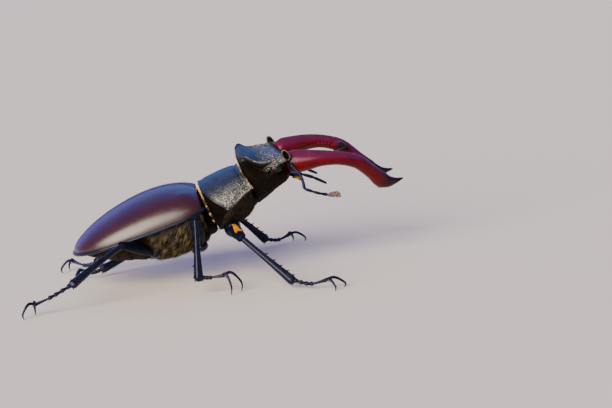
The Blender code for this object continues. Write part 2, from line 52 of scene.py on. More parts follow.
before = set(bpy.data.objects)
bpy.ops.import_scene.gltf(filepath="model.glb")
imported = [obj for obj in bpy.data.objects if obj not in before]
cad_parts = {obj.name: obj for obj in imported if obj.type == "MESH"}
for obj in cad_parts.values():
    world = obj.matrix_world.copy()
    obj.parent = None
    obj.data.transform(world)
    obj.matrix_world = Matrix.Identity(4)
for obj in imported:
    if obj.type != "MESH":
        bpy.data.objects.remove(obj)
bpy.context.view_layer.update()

MM = 0.001
BODY = "root"
SIDES = (("right", -1), ("left", 1))

# Frames: place of the origin and turns about X, Y and Z in degrees
HIND_FRAME = ((-24.5, 0.0, 15.6), (0.0, -15.0, 0.0))
FORE_FRAME = ((-19.0, 0.0, 17.1), (0.0, -20.0, 0.0))
HEAD_FRAME = ((-9.5, 0.0, 23.2), (7.0, 0.0, 7.0))
SKULL_FRAME = ((-9.5, 0.0, 23.2), (4.5, 0.0, 7.0))
WHOLE_FRAME = ((0.0, 0.0, 0.0), (0.0, 0.0, 0.0))

# Wing cases
ELYTRA_FRONT = 1.6
ELYTRA_LENGTH = 30.4
ELYTRA_HALF_WIDTH = 12.1
ELYTRA_HEIGHT = 7.0
OUTLINE_POWER = 4.2  # how square the outline is toward its tip
SHOULDER_CUT = 0.16  # share of the width that is missing at the very front
SHOULDER_REACH = 1.8  # how far back that fades away
ELYTRA_CREST = -9.0  # where the back is highest
FRONT_FALL = 13.1  # how far ahead of there its curve would come down to the margin
MARGIN_LEVEL = 0.6
MARGIN_RISE = 0.6  # from there to the shoulder
SHELL = 0.7
SHELL_POWER = 2.2
TRUNK_POWER = 1.9  # how square the underside is
TRUNK_SIDES = 96
SEAM = 0.06
SCUTELLUM_HALF_WIDTH = 2.0
SCUTELLUM_LENGTH = 3.4
WAIST = -11.0  # where the hind coxae part the chest from the belly
CLEARANCE = 1.4  # between the wing cases' outer face and the trunk
CHEST_LENGTH = 11.9  # ahead of the waist, as far as it follows the wing cases
BELLY_START = WAIST - 0.3
BELLY_LENGTH = 15.6
SEGMENT_ENDS = (-14.2, -17.0, -19.7, -22.2, -24.4)
SEGMENT_STEP = 0.3  # how far the end of one belly plate is set in under the next

# The front of the chest: (along, half width, top, bottom)
CHEST_FRONT = [(1.5, 8.4, 4.0, -6.6), (2.2, 7.8, 3.7, -6.1), (2.35, 7.2, 3.4, -5.5)]

# Thorax and belly: (along, lowest point)
UNDERSIDE = [(1.7, -6.3), (-1.0, -7.5), (-6.0, -8.2), (-11.0, -7.6), (-16.0, -6.1), (-21.0, -4.2),
             (-27.0, -0.6)]

# Prothorax: (along at the top, half width, top, side edge, bottom, how far the side edge is ahead of the top)
PROTHORAX = [
    (-2.8, 10.6, 5.6, -0.6, -6.0, 3.4),
    (-1.6, 10.85, 5.75, -0.65, -6.2, 2.8),
    (0.4, 10.8, 5.8, -0.5, -6.4, 1.7),
    (2.6, 10.4, 5.8, -0.1, -6.3, 0.9),
    (4.8, 9.6, 5.65, 0.45, -5.6, 0.55),
    (6.5, 8.5, 5.35, 0.8, -4.4, 0.88),
]
COLLAR = (-3.0, 8.1, 5.4, -0.3, -6.2)  # the end of its neck behind, as above

NECK_PLACE = (6.3, 0.0, -0.4)  # a ball between the prothorax and the head
NECK_SIZE = (2.2, 6.8, 4.2)

# Head: (along, lean back, turn, crown, ridge out and up, hollow out and up, cheek out and up, throat)
HEAD = [
    (-4.20, 0.36, 0.08, 4.25, 4.4, 4.35, 4.8, 3.6, 6.4, -0.4, -7.4),
    (-3.60, 0.34, 0.08, 4.6, 6.1, 4.7, 5.2, 3.4, 7.1, -0.8, -7.7),
    (-2.80, 0.31, 0.06, 4.55, 7.5, 4.55, 5.8, 2.7, 7.8, -1.2, -7.3),
    (-1.90, 0.28, 0.04, 4.40, 8.2, 4.0, 6.3, 2.0, 8.1, -1.5, -6.8),
    (-0.95, 0.24, 0.02, 4.25, 8.5, 3.55, 6.7, 1.5, 8.3, -1.6, -6.3),
    (0.15, 0.19, 0.0, 4.15, 8.6, 3.45, 7.0, 1.2, 8.4, -1.5, -5.6),
    (1.05, 0.16, 0.0, 4.10, 8.4, 3.55, 7.1, 1.2, 8.3, -1.3, -5.1),
    (2.45, 0.10, 0.0, 3.95, 7.8, 3.80, 7.1, 1.4, 8.0, -1.0, -4.3),
    (3.70, 0.06, 0.0, 3.75, 7.1, 4.05, 6.9, 1.6, 7.6, -0.8, -3.7),
    (4.50, 0.04, 0.0, 3.45, 6.7, 3.80, 6.6, 1.4, 7.1, -0.8, -3.2),
    (5.10, 0.02, 0.0, 3.05, 6.2, 3.20, 6.1, 1.1, 6.4, -0.8, -2.8),
    (5.60, 0.0, 0.0, 2.60, 5.4, 2.50, 5.3, 0.6, 5.4, -0.6, -2.4),
]
LEAN_LEVEL = 1.3  # above it the sections of the head lean back only a third as much
SECTION_STEPS = 7  # points from one corner of a section to the next
HORN_PLACE = (4.4, 8.0, 3.95)  # the ear-like lobe before each eye
HORN_SIZE = (0.7, 1.15)

# Jaw: (along, outward, up, half width, half height)
JAW = [
    (5.3, 5.1, 1.6, 1.9, 2.0),
    (6.5, 5.5, 1.9, 2.4, 2.5),
    (8.2, 6.2, 2.1, 2.4, 2.4),
    (12.3, 7.5, 2.5, 2.0, 1.75),
    (16.5, 8.0, 2.1, 1.75, 1.45),
    (20.5, 7.6, 0.65, 1.65, 1.5),
    (23.8, 6.55, -2.25, 1.55, 1.5),
    (26.1, 5.6, -4.55, 1.35, 1.75),
    (27.9, 5.1, -5.45, 1.1, 1.35),
    (29.8, 4.5, -5.65, 0.62, 0.7),
    (31.7, 4.2, -5.35, 0.16, 0.16),
]
# Its inner teeth: (along, outward, up, radius)
JAW_TOOTH = [(19.4, 6.9, 1.0, 1.25), (20.3, 5.3, 1.35, 0.85), (20.9, 3.5, 1.35, 0.14)]
JAW_TINE = [(25.9, 5.4, -4.7, 1.25), (26.2, 4.5, -5.9, 0.95), (26.7, 3.1, -6.8, 0.5), (27.0, 2.0, -7.1, 0.12)]
DENTICLES = (15.2, 19.2, 6)  # from, to and how many, on the inner edge
JAW_DARK_REACH = (9.5, 4.5, 5.5)  # how far the dark runs back from the ends of jaw, tooth and tine

EYE_PLACE = (2.2, 7.8, 1.2)
EYE_SIZE = (1.2, 0.95, 0.95)

# Feelers of the left side: (along, outward, up, radius)
SCAPE = [(5.4, 7.9, 2.0, 0.26), (7.0, 9.9, -0.2, 0.28), (7.3, 11.4, -2.5, 0.38)]
FUNICLE = [(7.4, 11.6, -2.8, 0.33), (9.9, 12.3, -3.8, 0.3), (12.0, 12.5, -4.4, 0.36)]
CLUB = [(12.3, 12.5, -4.5), (15.0, 12.4, -5.2)]
CLUB_PLATES = [(0.1, 0.6), (0.32, 0.85), (0.56, 0.95), (0.8, 0.7)]  # (share of the way, reach)
PLATE_LEAN = 52  # degrees forward
PLATE_TURN = 6  # degrees inward
JAW_PALP = [(6.0, 2.3, -0.8, 0.38), (8.8, 3.3, -1.8, 0.34), (11.2, 3.8, -2.7, 0.36), (13.9, 4.4, -4.2, 0.26)]
LIP_PALP = [(6.0, 0.9, -1.9, 0.32), (7.6, 1.3, -2.7, 0.3), (9.2, 1.7, -3.7, 0.24)]

# Legs, in the frame of the whole animal: coxa, knee, end of the shin, then the foot's way and its two claws
LEGS = {
    "front_right": ((-17.2, -5.2, 11.4), (-16.0, -17.0, 11.2), (-6.6, -23.4, 2.2),
                    [(-3.0, -25.4, 1.3), (0.2, -26.9, 2.0)], (1.9, -29.2), (4.2, -26.6)),
    "mid_right": ((-24.6, -5.6, 8.1), (-25.3, -16.0, 16.3), (-26.0, -20.0, 4.2),
                  [(-23.9, -20.2, 3.9), (-20.9, -20.8, 4.1)], (-19.5, -22.2), (-17.2, -19.8)),
    "hind_right": ((-34.6, -5.4, 7.7), (-41.4, -15.8, 12.0), (-52.3, -21.5, 6.1),
                   [(-57.0, -22.2, 4.0), (-60.8, -22.4, 2.7)], (-63.2, -24.0), (-61.0, -20.6)),
    "front_left": ((-17.2, 5.2, 11.4), (-16.8, 17.0, 11.6), (-8.6, 23.6, 2.4),
                   [(-5.4, 25.6, 1.4), (-2.6, 27.2, 2.0)], (-1.4, 29.2), (1.3, 27.6)),
    "mid_left": ((-24.6, 5.6, 8.1), (-34.0, 12.8, 6.6), (-46.8, 11.4, 2.0),
                 [(-49.2, 10.4, 1.5), (-51.4, 9.8, 2.1)], (-53.2, 11.2), (-53.0, 8.0)),
    "hind_left": ((-34.6, 5.4, 7.7), (-41.0, 15.9, 12.1), (-48.3, 17.4, 2.5),
                  [(-51.2, 18.8, 1.7), (-53.8, 20.4, 2.5)], (-55.2, 22.8), (-56.8, 20.2)),
}
COXA_SIZE = {"front": (1.9, 2.5, 2.2), "mid": (1.7, 2.2, 1.3), "hind": (1.5, 2.8, 1.3)}
# Radii at even steps from the hip to the knee and from the knee to the foot, and how far each bows outward
THIGH_RADII = (0.8, 1.3, 1.45, 1.25, 0.95)
SHIN_RADII = (0.62, 0.6, 0.66, 0.8, 1.0)
SHIN_SWELL = 1.03  # times those radii, for what its ribs leave out
THIGH_BOW = 0.25
SHIN_BOW = 0.3
# The shin's thorns: shares of the way from the knee, and degrees that they are turned round the shin from its
# outer edge on the right side, the left side being its mirror
THORN_PLACES = {"front": (0.45, 0.6, 0.73, 0.85, 0.95), "mid": (0.55, 0.78, 0.96), "hind": (0.72, 0.97)}
THORN_LEAN = {"front": -70.0, "mid": 60.0, "hind": 20.0}
FOOT_JOINTS = (0.0, 0.15, 0.29, 0.42, 0.55, 1.0)  # shares of the foot's way where its joints part

# One seed for each coat of hair
HAIR_SEEDS = {"chest_hair": 11, "belly_hair": 12, "prothorax_hair": 13, "neck_fringe": 14, "waist_fringe": 15,
              "mouth_brush": 17, "thigh_patch_front_right": 18, "thigh_patch_front_left": 19}
LOCK_SPOT = 0.003  # how much of the unwrapped skin's width one lock takes
# Where the unwrapped skins begin along the body, and how long they are
TRUNK_SPAN = (-29.0, 32.0)
PROTHORAX_SPAN = (-3.0, 11.0)

# A low, warm and very wide sun on the animal's right and a little behind it; angles in degrees
KEY_LIGHT = {"azimuth": -35.0, "elevation": 21.0, "spread": 54.0, "strength": 9.5,
             "colour": (1.0, 0.89, 0.72)}
BLUE_ELEVATION = radians(25)  # how high above the animal's left side the light all round is bluest
# Light all round: (share of the way toward the blue side, colour)
WORLD_COLOURS = [(0.0, (0.2, 0.19, 0.18)), (0.42, (0.18, 0.16, 0.25)), (0.62, (0.3, 0.2, 0.6)),
                 (0.86, (0.2, 0.25, 0.9)), (1.0, (0.18, 0.36, 1.0))]


def middle(node):
    """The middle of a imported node's box, in millimetres."""
    low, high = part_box(node)
    return (low + high) / (2 * MM)


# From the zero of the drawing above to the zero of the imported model, found from one hip
DRAWING_ZERO = middle("coxa_mid_right") - Vector(LEGS["mid_right"][0])


def placed(part_frame):
    """The matrix that carries a shape from its part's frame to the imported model's, in millimetres."""
    place, turn = part_frame
    return Matrix.LocRotScale(DRAWING_ZERO + Vector(place), Euler([radians(angle) for angle in turn]), None)


# ---------------------------------------------------------------- shapes

def clamp(value):
    """The value, kept between 0 and 1."""
    return min(1.0, max(0.0, value))


def angles_round(count):
    """This many angles, evenly once round."""
    return [tau * step / count for step in range(count)]


def blend(rows, steps):
    """Rows on a smooth curve through the given rows, with this many steps from each to the next."""
    smooth = []
    for index in range(len(rows) - 1):
        before = rows[max(index - 1, 0)]
        here, there = rows[index], rows[index + 1]
        after = rows[min(index + 2, len(rows) - 1)]
        for step in range(steps):
            t = step / steps
            smooth.append(tuple(
                0.5 * (2 * b + (c - a) * t + (2 * a - 5 * b + 4 * c - d) * t * t
                       + (3 * b - a - 3 * c + d) * t ** 3)
                for a, b, c, d in zip(before, here, there, after)))
    smooth.append(tuple(rows[-1]))
    return smooth


def at(rows, place):
    """The row at this place along rows whose first value falls or rises, by straight lines between them."""
    for low, high in zip(rows, rows[1:]):
        if min(low[0], high[0]) <= place <= max(low[0], high[0]):
            share = (place - low[0]) / (high[0] - low[0])
            return [a + (b - a) * share for a, b in zip(low, high)]
    return rows[0] if abs(place - rows[0][0]) < abs(place - rows[-1][0]) else rows[-1]


def mirrored(rows, side):
    """Rows of the left side, as they are for a side of 1 and carried to the right for -1."""
    return [(row[0], row[1] * side, *row[2:]) for row in rows]


def around(half_width, top, side, bottom, angle, upper_power, lower_power):
    """The point (across, up) at this angle round a body section that is widest at its side line."""
    power = upper_power if sin(angle) > 0 else lower_power
    across = copysign(abs(cos(angle)) ** (2 / power), cos(angle))
    rise = copysign(abs(sin(angle)) ** (2 / power), sin(angle))
    reach = top - side if rise > 0 else side - bottom
    return half_width * across, side + reach * rise


def add_skin(bm, rings, tail, nose):
    """A closed skin through the rings, made from a ball whose poles go to the tail and the nose."""
    sides = len(rings[0])
    rows = len(rings) + 1
    ball = bmesh.ops.create_uvsphere(bm, u_segments=sides, v_segments=rows, radius=1.0)["verts"]
    for vertex in ball:
        x, y, z = vertex.co
        row = round(acos(max(-1.0, min(1.0, -z))) / pi * rows)
        column = round((atan2(y, x) - pi / 2) / tau * sides) % sides
        if row == 0:
            vertex.co = tail
        elif row == rows:
            vertex.co = nose
        else:
            vertex.co = rings[row - 1][column]
    return ball


def add_ball(bm, centre, size, sides):
    """A ball stretched by these three half sizes."""
    ball = bmesh.ops.create_uvsphere(bm, u_segments=sides, v_segments=sides // 2, radius=1.0)["verts"]
    bmesh.ops.scale(bm, vec=size, verts=ball)
    bmesh.ops.translate(bm, vec=centre, verts=ball)
    return ball


def add_limb(bm, rows, sides, flat=1.0, ribs=0, rib_depth=0.0, upward=(0.0, 0.0, 1.0)):
    """A limb through rows of (x, y, z, radius) with domed ends, flattened or ribbed lengthwise if asked."""
    points = [Vector(row[:3]) for row in rows]
    last = len(points) - 1
    headings = [(points[min(index + 1, last)] - points[max(index - 1, 0)]).normalized()
                for index in range(len(points))]
    stations = [(point, heading, row[3]) for point, heading, row in zip(points, headings, rows)]
    dome = [(cos(angle), sin(angle)) for angle in (pi / 8, pi / 4, 3 * pi / 8)]
    start, end = stations[0], stations[-1]
    stations = ([(start[0] - start[1] * start[2] * out, start[1], start[2] * width) for out, width in dome]
                + stations
                + [(end[0] + end[1] * end[2] * out, end[1], end[2] * width) for out, width in reversed(dome)])
    side = headings[0].cross(Vector(upward))
    if side.length < 0.1:
        side = headings[0].orthogonal()
    rings = []
    for point, heading, radius in stations:
        side = (side - heading * side.dot(heading)).normalized()
        other = heading.cross(side)
        ring = []
        for angle in angles_round(sides):
            reach = radius * (1 + rib_depth * cos(ribs * angle))
            ring.append(point + side * reach * cos(angle) + other * reach * flat * sin(angle))
        rings.append(ring)
    return add_skin(bm, rings, start[0] - start[1] * start[2], end[0] + end[1] * end[2])


def add_spike(bm, root, tip, radius, bend=(0.0, 0.0, 0.0), sides=8):
    """A thorn from root to tip, bowed by the bend."""
    root, tip, bend = Vector(root), Vector(tip), Vector(bend)
    rows = []
    for step in range(7):
        t = step / 6
        point = root.lerp(tip, t) + bend * (4 * t * (1 - t))
        rows.append((*point, radius * (1 - t) ** 0.7 + 0.03))
    return add_limb(bm, rows, sides)


def dimple(bm, verts, size, depth, seed=0.0, where=None):
    """Moves vertices along their normals by cells of noise, for pits and grains of that size."""
    bm.normal_update()
    moves = []
    for vertex in verts:
        weight = where(vertex.co) if where else 1.0
        if weight > 0:
            nearest = noise.voronoi(vertex.co / size + Vector((seed, 0, 0)))[0][0]
            moves.append((vertex, vertex.normal * (depth * weight * (nearest - 0.5))))
    for vertex, move in moves:
        vertex.co += move


def paint(bm, layer_name, value_at):
    """Writes a number at every vertex, for a material to read."""
    layer = bm.verts.layers.float.get(layer_name) or bm.verts.layers.float.new(layer_name)
    for vertex in bm.verts:
        vertex[layer] = value_at(vertex.co)


def add_object(name, data):
    """An object in the scene for this mesh, light or camera."""
    made = bpy.data.objects.new(name, data)
    bpy.context.scene.collection.objects.link(made)
    return made


def add_piece(name, mesh, material, nodes=()):
    """A piece of the animal that rides on its body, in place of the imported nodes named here."""
    mesh.shade_smooth()
    mesh.materials.append(material)
    piece = add_object(name, mesh)
    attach(piece, BODY)
    if nodes:
        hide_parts(*nodes)
    return piece


def finish(bm, name, part_frame, material, nodes=()):
    """Moves a mesh from its part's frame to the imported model's and makes it a piece."""
    bmesh.ops.remove_doubles(bm, verts=bm.verts, dist=0.0005)
    bmesh.ops.recalc_face_normals(bm, faces=bm.faces)
    bmesh.ops.transform(bm, matrix=Matrix.Scale(MM, 4) @ placed(part_frame), verts=bm.verts)
    mesh = bpy.data.meshes.new(name)
    bm.to_mesh(mesh)
    bm.free()
    return add_piece(name, mesh, material, nodes)


# ---------------------------------------------------------------- materials

class Finish:
    """A Principled material under construction, with short ways to add the nodes that it needs."""

    def __init__(self, name, roughness, **sockets):
        self.material = bpy.data.materials.new(name)
        self.material.use_nodes = True
        self.tree = self.material.node_tree
        self.shader = self.tree.nodes["Principled BSDF"]
        self.shader.inputs["Roughness"].default_value = roughness
        for socket, value in sockets.items():
            self.shader.inputs[socket.replace("_", " ")].default_value = value
        self.coordinates = self.tree.nodes.new("ShaderNodeTexCoord").outputs["Object"]

    def link(self, output, node, socket):
        self.tree.links.new(output, node.inputs[socket])

    def noise(self, size, detail=3.0):
        """Clouds of this size in millimetres."""
        node = self.tree.nodes.new("ShaderNodeTexNoise")
        node.inputs["Scale"].default_value = 1 / (size * MM)
        node.inputs["Detail"].default_value = detail
        node.inputs["Roughness"].default_value = 0.55
        self.link(self.coordinates, node, "Vector")
        return node.outputs["Fac"]

    def cells(self, size, randomness=1.0):
        """Pits at this distance apart in millimetres: 0 in each pit's middle."""
        node = self.tree.nodes.new("ShaderNodeTexVoronoi")
        node.inputs["Scale"].default_value = 1 / (size * MM)
        node.inputs["Randomness"].default_value = randomness
        self.link(self.coordinates, node, "Vector")
        return node.outputs["Distance"]

    def attribute(self, name):
        """The number painted on the mesh under this name."""
        node = self.tree.nodes.new("ShaderNodeAttribute")
        node.attribute_name = name
        return node.outputs["Fac"]

    def ramp(self, value, stops):
        """Colours or shades by value, from a list of (place, colour)."""
        node = self.tree.nodes.new("ShaderNodeValToRGB")
        elements = node.color_ramp.elements
        while len(elements) < len(stops):
            elements.new(0.5)
        for element, (place, colour) in zip(elements, stops):
            element.position = place
            element.color = (*colour, 1.0) if hasattr(colour, "__len__") else (colour, colour, colour, 1.0)
        self.link(value, node, "Fac")
        return node.outputs["Color"]

    def mix(self, share, low, high, kind="MIX"):
        """Two colours, each an output or a plain colour, mixed by a number or an output."""
        node = self.tree.nodes.new("ShaderNodeMix")
        node.data_type = "RGBA"
        node.blend_type = kind
        for socket, value in (("Factor", share), ("A", low), ("B", high)):
            target = next(entry for entry in node.inputs if entry.name == socket and entry.enabled)
            if hasattr(value, "links"):
                self.tree.links.new(value, target)
            elif hasattr(value, "__len__"):
                target.default_value = (*value, 1.0)
            else:
                target.default_value = value
        return next(entry for entry in node.outputs if entry.enabled)

    def bump(self, height, depth, strength=1.0, under=None):
        """Relief of this depth in millimetres."""
        node = self.tree.nodes.new("ShaderNodeBump")
        node.inputs["Strength"].default_value = strength
        node.inputs["Distance"].default_value = depth * MM
        self.link(height, node, "Height")
        if under:
            self.link(under, node, "Normal")
        return node.outputs["Normal"]

    def set(self, socket, output):
        """Links an output to this socket of the shader."""
        self.link(output, self.shader, socket)


def colour_of(name):
    """A colour from the settings in the panel."""
    return tuple(getattr(bpy.context.scene.beetle_colours, name))


def wing_case_finish():
    """Satin chestnut with a painted violet sky sheen toward the seam, where the back faces up, and very fine
    pits.
    """
    made = Finish("wing_case_satin", 0.34, Coat_Weight=0.2, Coat_Roughness=0.3, IOR=1.55)
    chestnut, violet = colour_of("wing_case"), colour_of("wing_case_seam")
    clouds = made.ramp(made.noise(5.0), [(0.35, 0.8), (0.7, 1.15)])
    # Painted sheen: the wing cases turn violet toward the seam, standing in for the sky's reflection on the
    # top of the back.
    sheen_toward_seam = made.ramp(made.attribute("seam"), [(0.5, violet), (0.95, chestnut)])
    made.set("Base Color", made.mix(1.0, sheen_toward_seam, clouds, "MULTIPLY"))
    made.set("Roughness", made.ramp(made.noise(0.8, 5.0), [(0.3, 0.28), (0.75, 0.4)]))
    grain = made.bump(made.noise(0.16, 2.0), 0.008)
    made.set("Normal", made.bump(made.ramp(made.cells(0.36), [(0.0, 0.0), (0.45, 1.0)]), 0.014, 0.8, grain))
    return made.material


def shell_finish(name, pits, depth, roughness):
    """Blue-black shell with pits this far apart. Its marks make it duller on the underside and in painted
    shade, add pale specks that are partly short hair and partly painted glints, and paint pale highlights
    along edges.
    """
    made = Finish(name, roughness, IOR=1.5)
    clouds = made.ramp(made.noise(1.4, 5.0), [(0.3, 0.6), (0.75, 1.6)])
    # The "under" mark is the dull real underside, and on the head also painted shade below the ridge and in
    # the horns' hollows.
    under = made.attribute("under")
    base = made.mix(under, colour_of("shell"), colour_of("under"))
    # Pale specks: partly short hair and partly painted glints of light on the pits.
    specks = made.ramp(made.noise(pits * 0.6, 2.0), [(0.52, 0.0), (0.6, 1.0)])
    dust_and_glint_specks = made.mix(1.0, specks, made.attribute("dust"), "MULTIPLY")
    base = made.mix(dust_and_glint_specks, base, colour_of("dust"))
    base = made.mix(1.0, base, clouds, "MULTIPLY")
    # Painted highlights where the "edge" mark is set.
    made.set("Base Color", made.mix(made.attribute("edge"), base, colour_of("edge")))
    patches = made.ramp(made.noise(0.5, 4.0), [(0.3, roughness - 0.08), (0.75, roughness + 0.1)])
    made.set("Roughness", made.mix(under, patches, (0.75, 0.75, 0.75)))
    made.set("Specular Tint", made.mix(under, (1.0, 1.0, 1.0), (0.1, 0.07, 0.06)))
    grain = made.bump(made.noise(pits * 0.45, 3.0), depth * 0.4)
    made.set("Normal", made.bump(made.ramp(made.cells(pits), [(0.05, 0.0), (0.5, 1.0)]), depth, 0.9, grain))
    return made.material


def gloss_finish(name, colour, roughness, coat=0.0, tint=(0.32, 0.42, 1.0), ior=1.35):
    """Polished shell of the legs, the feelers and the wing cases' rims, faintly uneven."""
    made = Finish(name, roughness, IOR=ior, Coat_Weight=coat, Coat_Roughness=0.3, Specular_Tint=(*tint, 1.0))
    clouds = made.ramp(made.noise(1.2, 3.0), [(0.3, 0.7), (0.75, 1.5)])
    made.set("Base Color", made.mix(1.0, colour_of(colour), clouds, "MULTIPLY"))
    patches = [(0.3, roughness - 0.06), (0.75, roughness + 0.12)]
    made.set("Roughness", made.ramp(made.noise(0.6, 4.0), patches))
    made.set("Normal", made.bump(made.noise(0.25, 3.0), 0.02, 0.7))
    return made.material


def jaw_finish():
    """Glossy crimson that darkens to black on the tips and teeth, very slightly uneven, with painted shade at
    its root and a painted violet sky reflection on its upper faces.
    """
    made = Finish("jaw_gloss", 0.25, IOR=1.3, Specular_Tint=(1.0, 0.62, 0.85, 1.0))
    clouds = made.ramp(made.noise(3.0, 3.0), [(0.3, 0.8), (0.75, 1.2)])
    # Painted sky reflection: the crimson is mixed toward violet where the jaw faces up.
    painted_sheen_crimson = made.mix(made.attribute("upward"), colour_of("jaw"), colour_of("jaw_top"))
    crimson = made.mix(1.0, painted_sheen_crimson, clouds, "MULTIPLY")
    # The "tip" mark is black on the real tips and teeth, and at the jaw's root it is painted shade.
    tips = made.ramp(made.attribute("tip"), [(0.25, 0.0), (0.6, 1.0)])
    made.set("Base Color", made.mix(tips, crimson, colour_of("jaw_tip")))
    made.set("Roughness", made.ramp(made.noise(0.7, 4.0), [(0.3, 0.2), (0.75, 0.28)]))
    made.set("Normal", made.bump(made.noise(0.5, 2.0), 0.006, 0.6))
    return made.material


def matte_finish(name, colour):
    """Dull shell of the chest and the belly, and the neck's membrane."""
    made = Finish(name, 0.65, IOR=1.2, Specular_Tint=(0.2, 0.16, 0.12, 1.0))
    clouds = made.ramp(made.noise(0.9, 5.0), [(0.3, 0.5), (0.75, 1.7)])
    made.set("Base Color", made.mix(1.0, colour_of(colour), clouds, "MULTIPLY"))
    made.set("Normal", made.bump(made.noise(0.35, 4.0), 0.05, 0.8))
    return made.material


def club_finish():
    """Felted plates of the feeler, violet at the root and tan at the tip, and paler higher up as painted
    light from above.
    """
    made = Finish("club_felt", 0.7, IOR=1.35)
    felt = [(0.1, colour_of("club_root")), (0.75, colour_of("club"))]
    made.set("Base Color", made.ramp(made.attribute("tip"), felt))
    made.set("Normal", made.bump(made.noise(0.2, 4.0), 0.03, 0.8))
    return made.material


def eye_finish():
    """Dark glass with fine facets."""
    made = Finish("eye_gloss", 0.08, IOR=1.28, Specular_Tint=(0.5, 0.6, 1.0, 1.0))
    made.set("Base Color", made.mix(made.noise(0.5), colour_of("eye"), (0.012, 0.01, 0.012)))
    made.set("Normal", made.bump(made.cells(0.09, 0.2), 0.003, 0.5))
    return made.material


# How light the locks of a coat are: (share of the locks, times its colour)
CLUMPED = [(0.0, 0.05), (0.55, 0.2), (0.75, 1.3), (1.0, 3.2)]
EVEN = [(0.0, 0.4), (0.6, 0.7), (0.85, 1.6), (1.0, 2.4)]


def hair_finish(name, colour, shades, sheen=0.1):
    """Hair that is darker at its root, with every lock a little lighter or darker than the next."""
    made = Finish(name, 0.5, IOR=1.5, Sheen_Weight=sheen, Sheen_Roughness=0.4,
                  Specular_Tint=(0.5, 0.4, 0.25, 1.0))
    lock = made.ramp(made.attribute("shade"), shades)
    along = made.ramp(made.attribute("along"), [(0.0, 0.2), (0.6, 1.1)])
    tinted = made.mix(1.0, colour_of(colour), lock, "MULTIPLY")
    made.set("Base Color", made.mix(1.0, tinted, along, "MULTIPLY"))
    return made.material


# ---------------------------------------------------------------- wing cases, shield and trunk

def elytra_half_width(along):
    """Half the width across both wing cases."""
    behind = min((ELYTRA_FRONT - along) / ELYTRA_LENGTH, 1.0)
    shoulder = 1 - SHOULDER_CUT * exp(-(ELYTRA_FRONT - along) / SHOULDER_REACH)
    return ELYTRA_HALF_WIDTH * sqrt(1 - behind ** OUTLINE_POWER) * shoulder


def margin_level(along):
    """The height of the wing cases' side edge, which rises toward the shoulder."""
    ahead = (along - ELYTRA_CREST) / (ELYTRA_FRONT - ELYTRA_CREST)
    return MARGIN_LEVEL + MARGIN_RISE * max(ahead, 0.0) ** 3


def elytra_top(along):
    """The height of the back, which is highest at its crest."""
    if along < ELYTRA_CREST:
        reach = ELYTRA_LENGTH - ELYTRA_FRONT + ELYTRA_CREST
        fall = min((ELYTRA_CREST - along) / reach, 1.0)
        return MARGIN_LEVEL + ELYTRA_HEIGHT * (1 - fall ** 1.7) ** 0.625
    fall = (along - ELYTRA_CREST) / FRONT_FALL
    return MARGIN_LEVEL + ELYTRA_HEIGHT * sqrt(1 - fall ** 2.2)


def inner_edge(along):
    """How far from the middle a wing case begins: at the seam, or beside the scutellum."""
    into = (ELYTRA_FRONT - along) / SCUTELLUM_LENGTH
    return SEAM + max(0.0, SCUTELLUM_HALF_WIDTH * (1 - into))


def wing_case_point(back, out, side):
    """The outer face of a wing case: back goes from 0 at its front to 1 at its tip, out from seam to rim."""
    along = ELYTRA_FRONT - ELYTRA_LENGTH * sin(pi / 2 * back)
    half_width = elytra_half_width(along)
    level = margin_level(along)
    rise = elytra_top(along) - level
    seam = min(inner_edge(along), 0.4 * half_width)
    first = pi / 2 - (seam / half_width) ** (SHELL_POWER / 2) if half_width > 0.01 else pi / 2
    angle = first * (1 - out)
    across = max(half_width * abs(cos(angle)) ** (2 / SHELL_POWER), seam)
    up = level + rise * abs(sin(angle)) ** (2 / SHELL_POWER)
    seam_bead = 0.14 * exp(-((across - seam - 0.3) / 0.22) ** 2) * min(1.0, rise)
    shoulder = 0.35 * exp(-((along + 1.4) / 1.9) ** 2 - ((across - 0.72 * half_width) / 1.6) ** 2)
    return Vector((along, side * across, up + seam_bead + shoulder))


def make_wing_case(name, side, finish_material):
    """A wing case, drawn as its outer face and made a thin shell inward from there."""
    bm = bmesh.new()
    bmesh.ops.create_grid(bm, x_segments=90, y_segments=72, size=1.0)
    for vertex in bm.verts:
        back, out = (vertex.co.x + 1) / 2, (vertex.co.y + 1) / 2
        vertex.co = wing_case_point(back, out, side)
    # How far a place is from the seam; the material paints a violet sky sheen near it.
    paint(bm, "seam", lambda point: min(abs(point.y) / 7.0, 1.0))
    piece = finish(bm, "wing_case_" + name, HIND_FRAME, finish_material, ["elytron_" + name])
    shell = piece.modifiers.new("Shell", "SOLIDIFY")
    shell.thickness = SHELL * MM
    shell.offset = -1.0


def make_rim(name, side, rim_material):
    """The rounded rim along the outer edge of a wing case, from its shoulder to its tip."""
    rows = []
    for step in range(81):
        back = step / 80
        edge = wing_case_point(back, 1.0, side)
        radius = 0.30 + 0.16 * back
        rows.append((edge.x, edge.y + side * 0.08, edge.z - 0.12, radius))
    bm = bmesh.new()
    add_limb(bm, rows, 14)
    finish(bm, "wing_rim_" + name, HIND_FRAME, rim_material)


def underside(along):
    """The lowest point of the trunk."""
    return at(blend(UNDERSIDE, 8), along)[1]


def trunk_point(along, angle):
    """The skin of the chest and belly, with the belly's plates stepped one over the next."""
    half_width = elytra_half_width(along) - CLEARANCE
    top = elytra_top(along) - CLEARANCE
    level = margin_level(along)
    across, up = around(half_width, top, level, underside(along), angle, SHELL_POWER, TRUNK_POWER)
    step_in = 0.0
    if along < WAIST:
        start = WAIST
        for end in SEGMENT_ENDS:
            if end <= along <= start:
                step_in = SEGMENT_STEP * ((start - along) / (start - end)) ** 3
            start = end
    scale = 1 - step_in / 6.0
    return Vector((along, across * scale, level + (up - level) * scale))


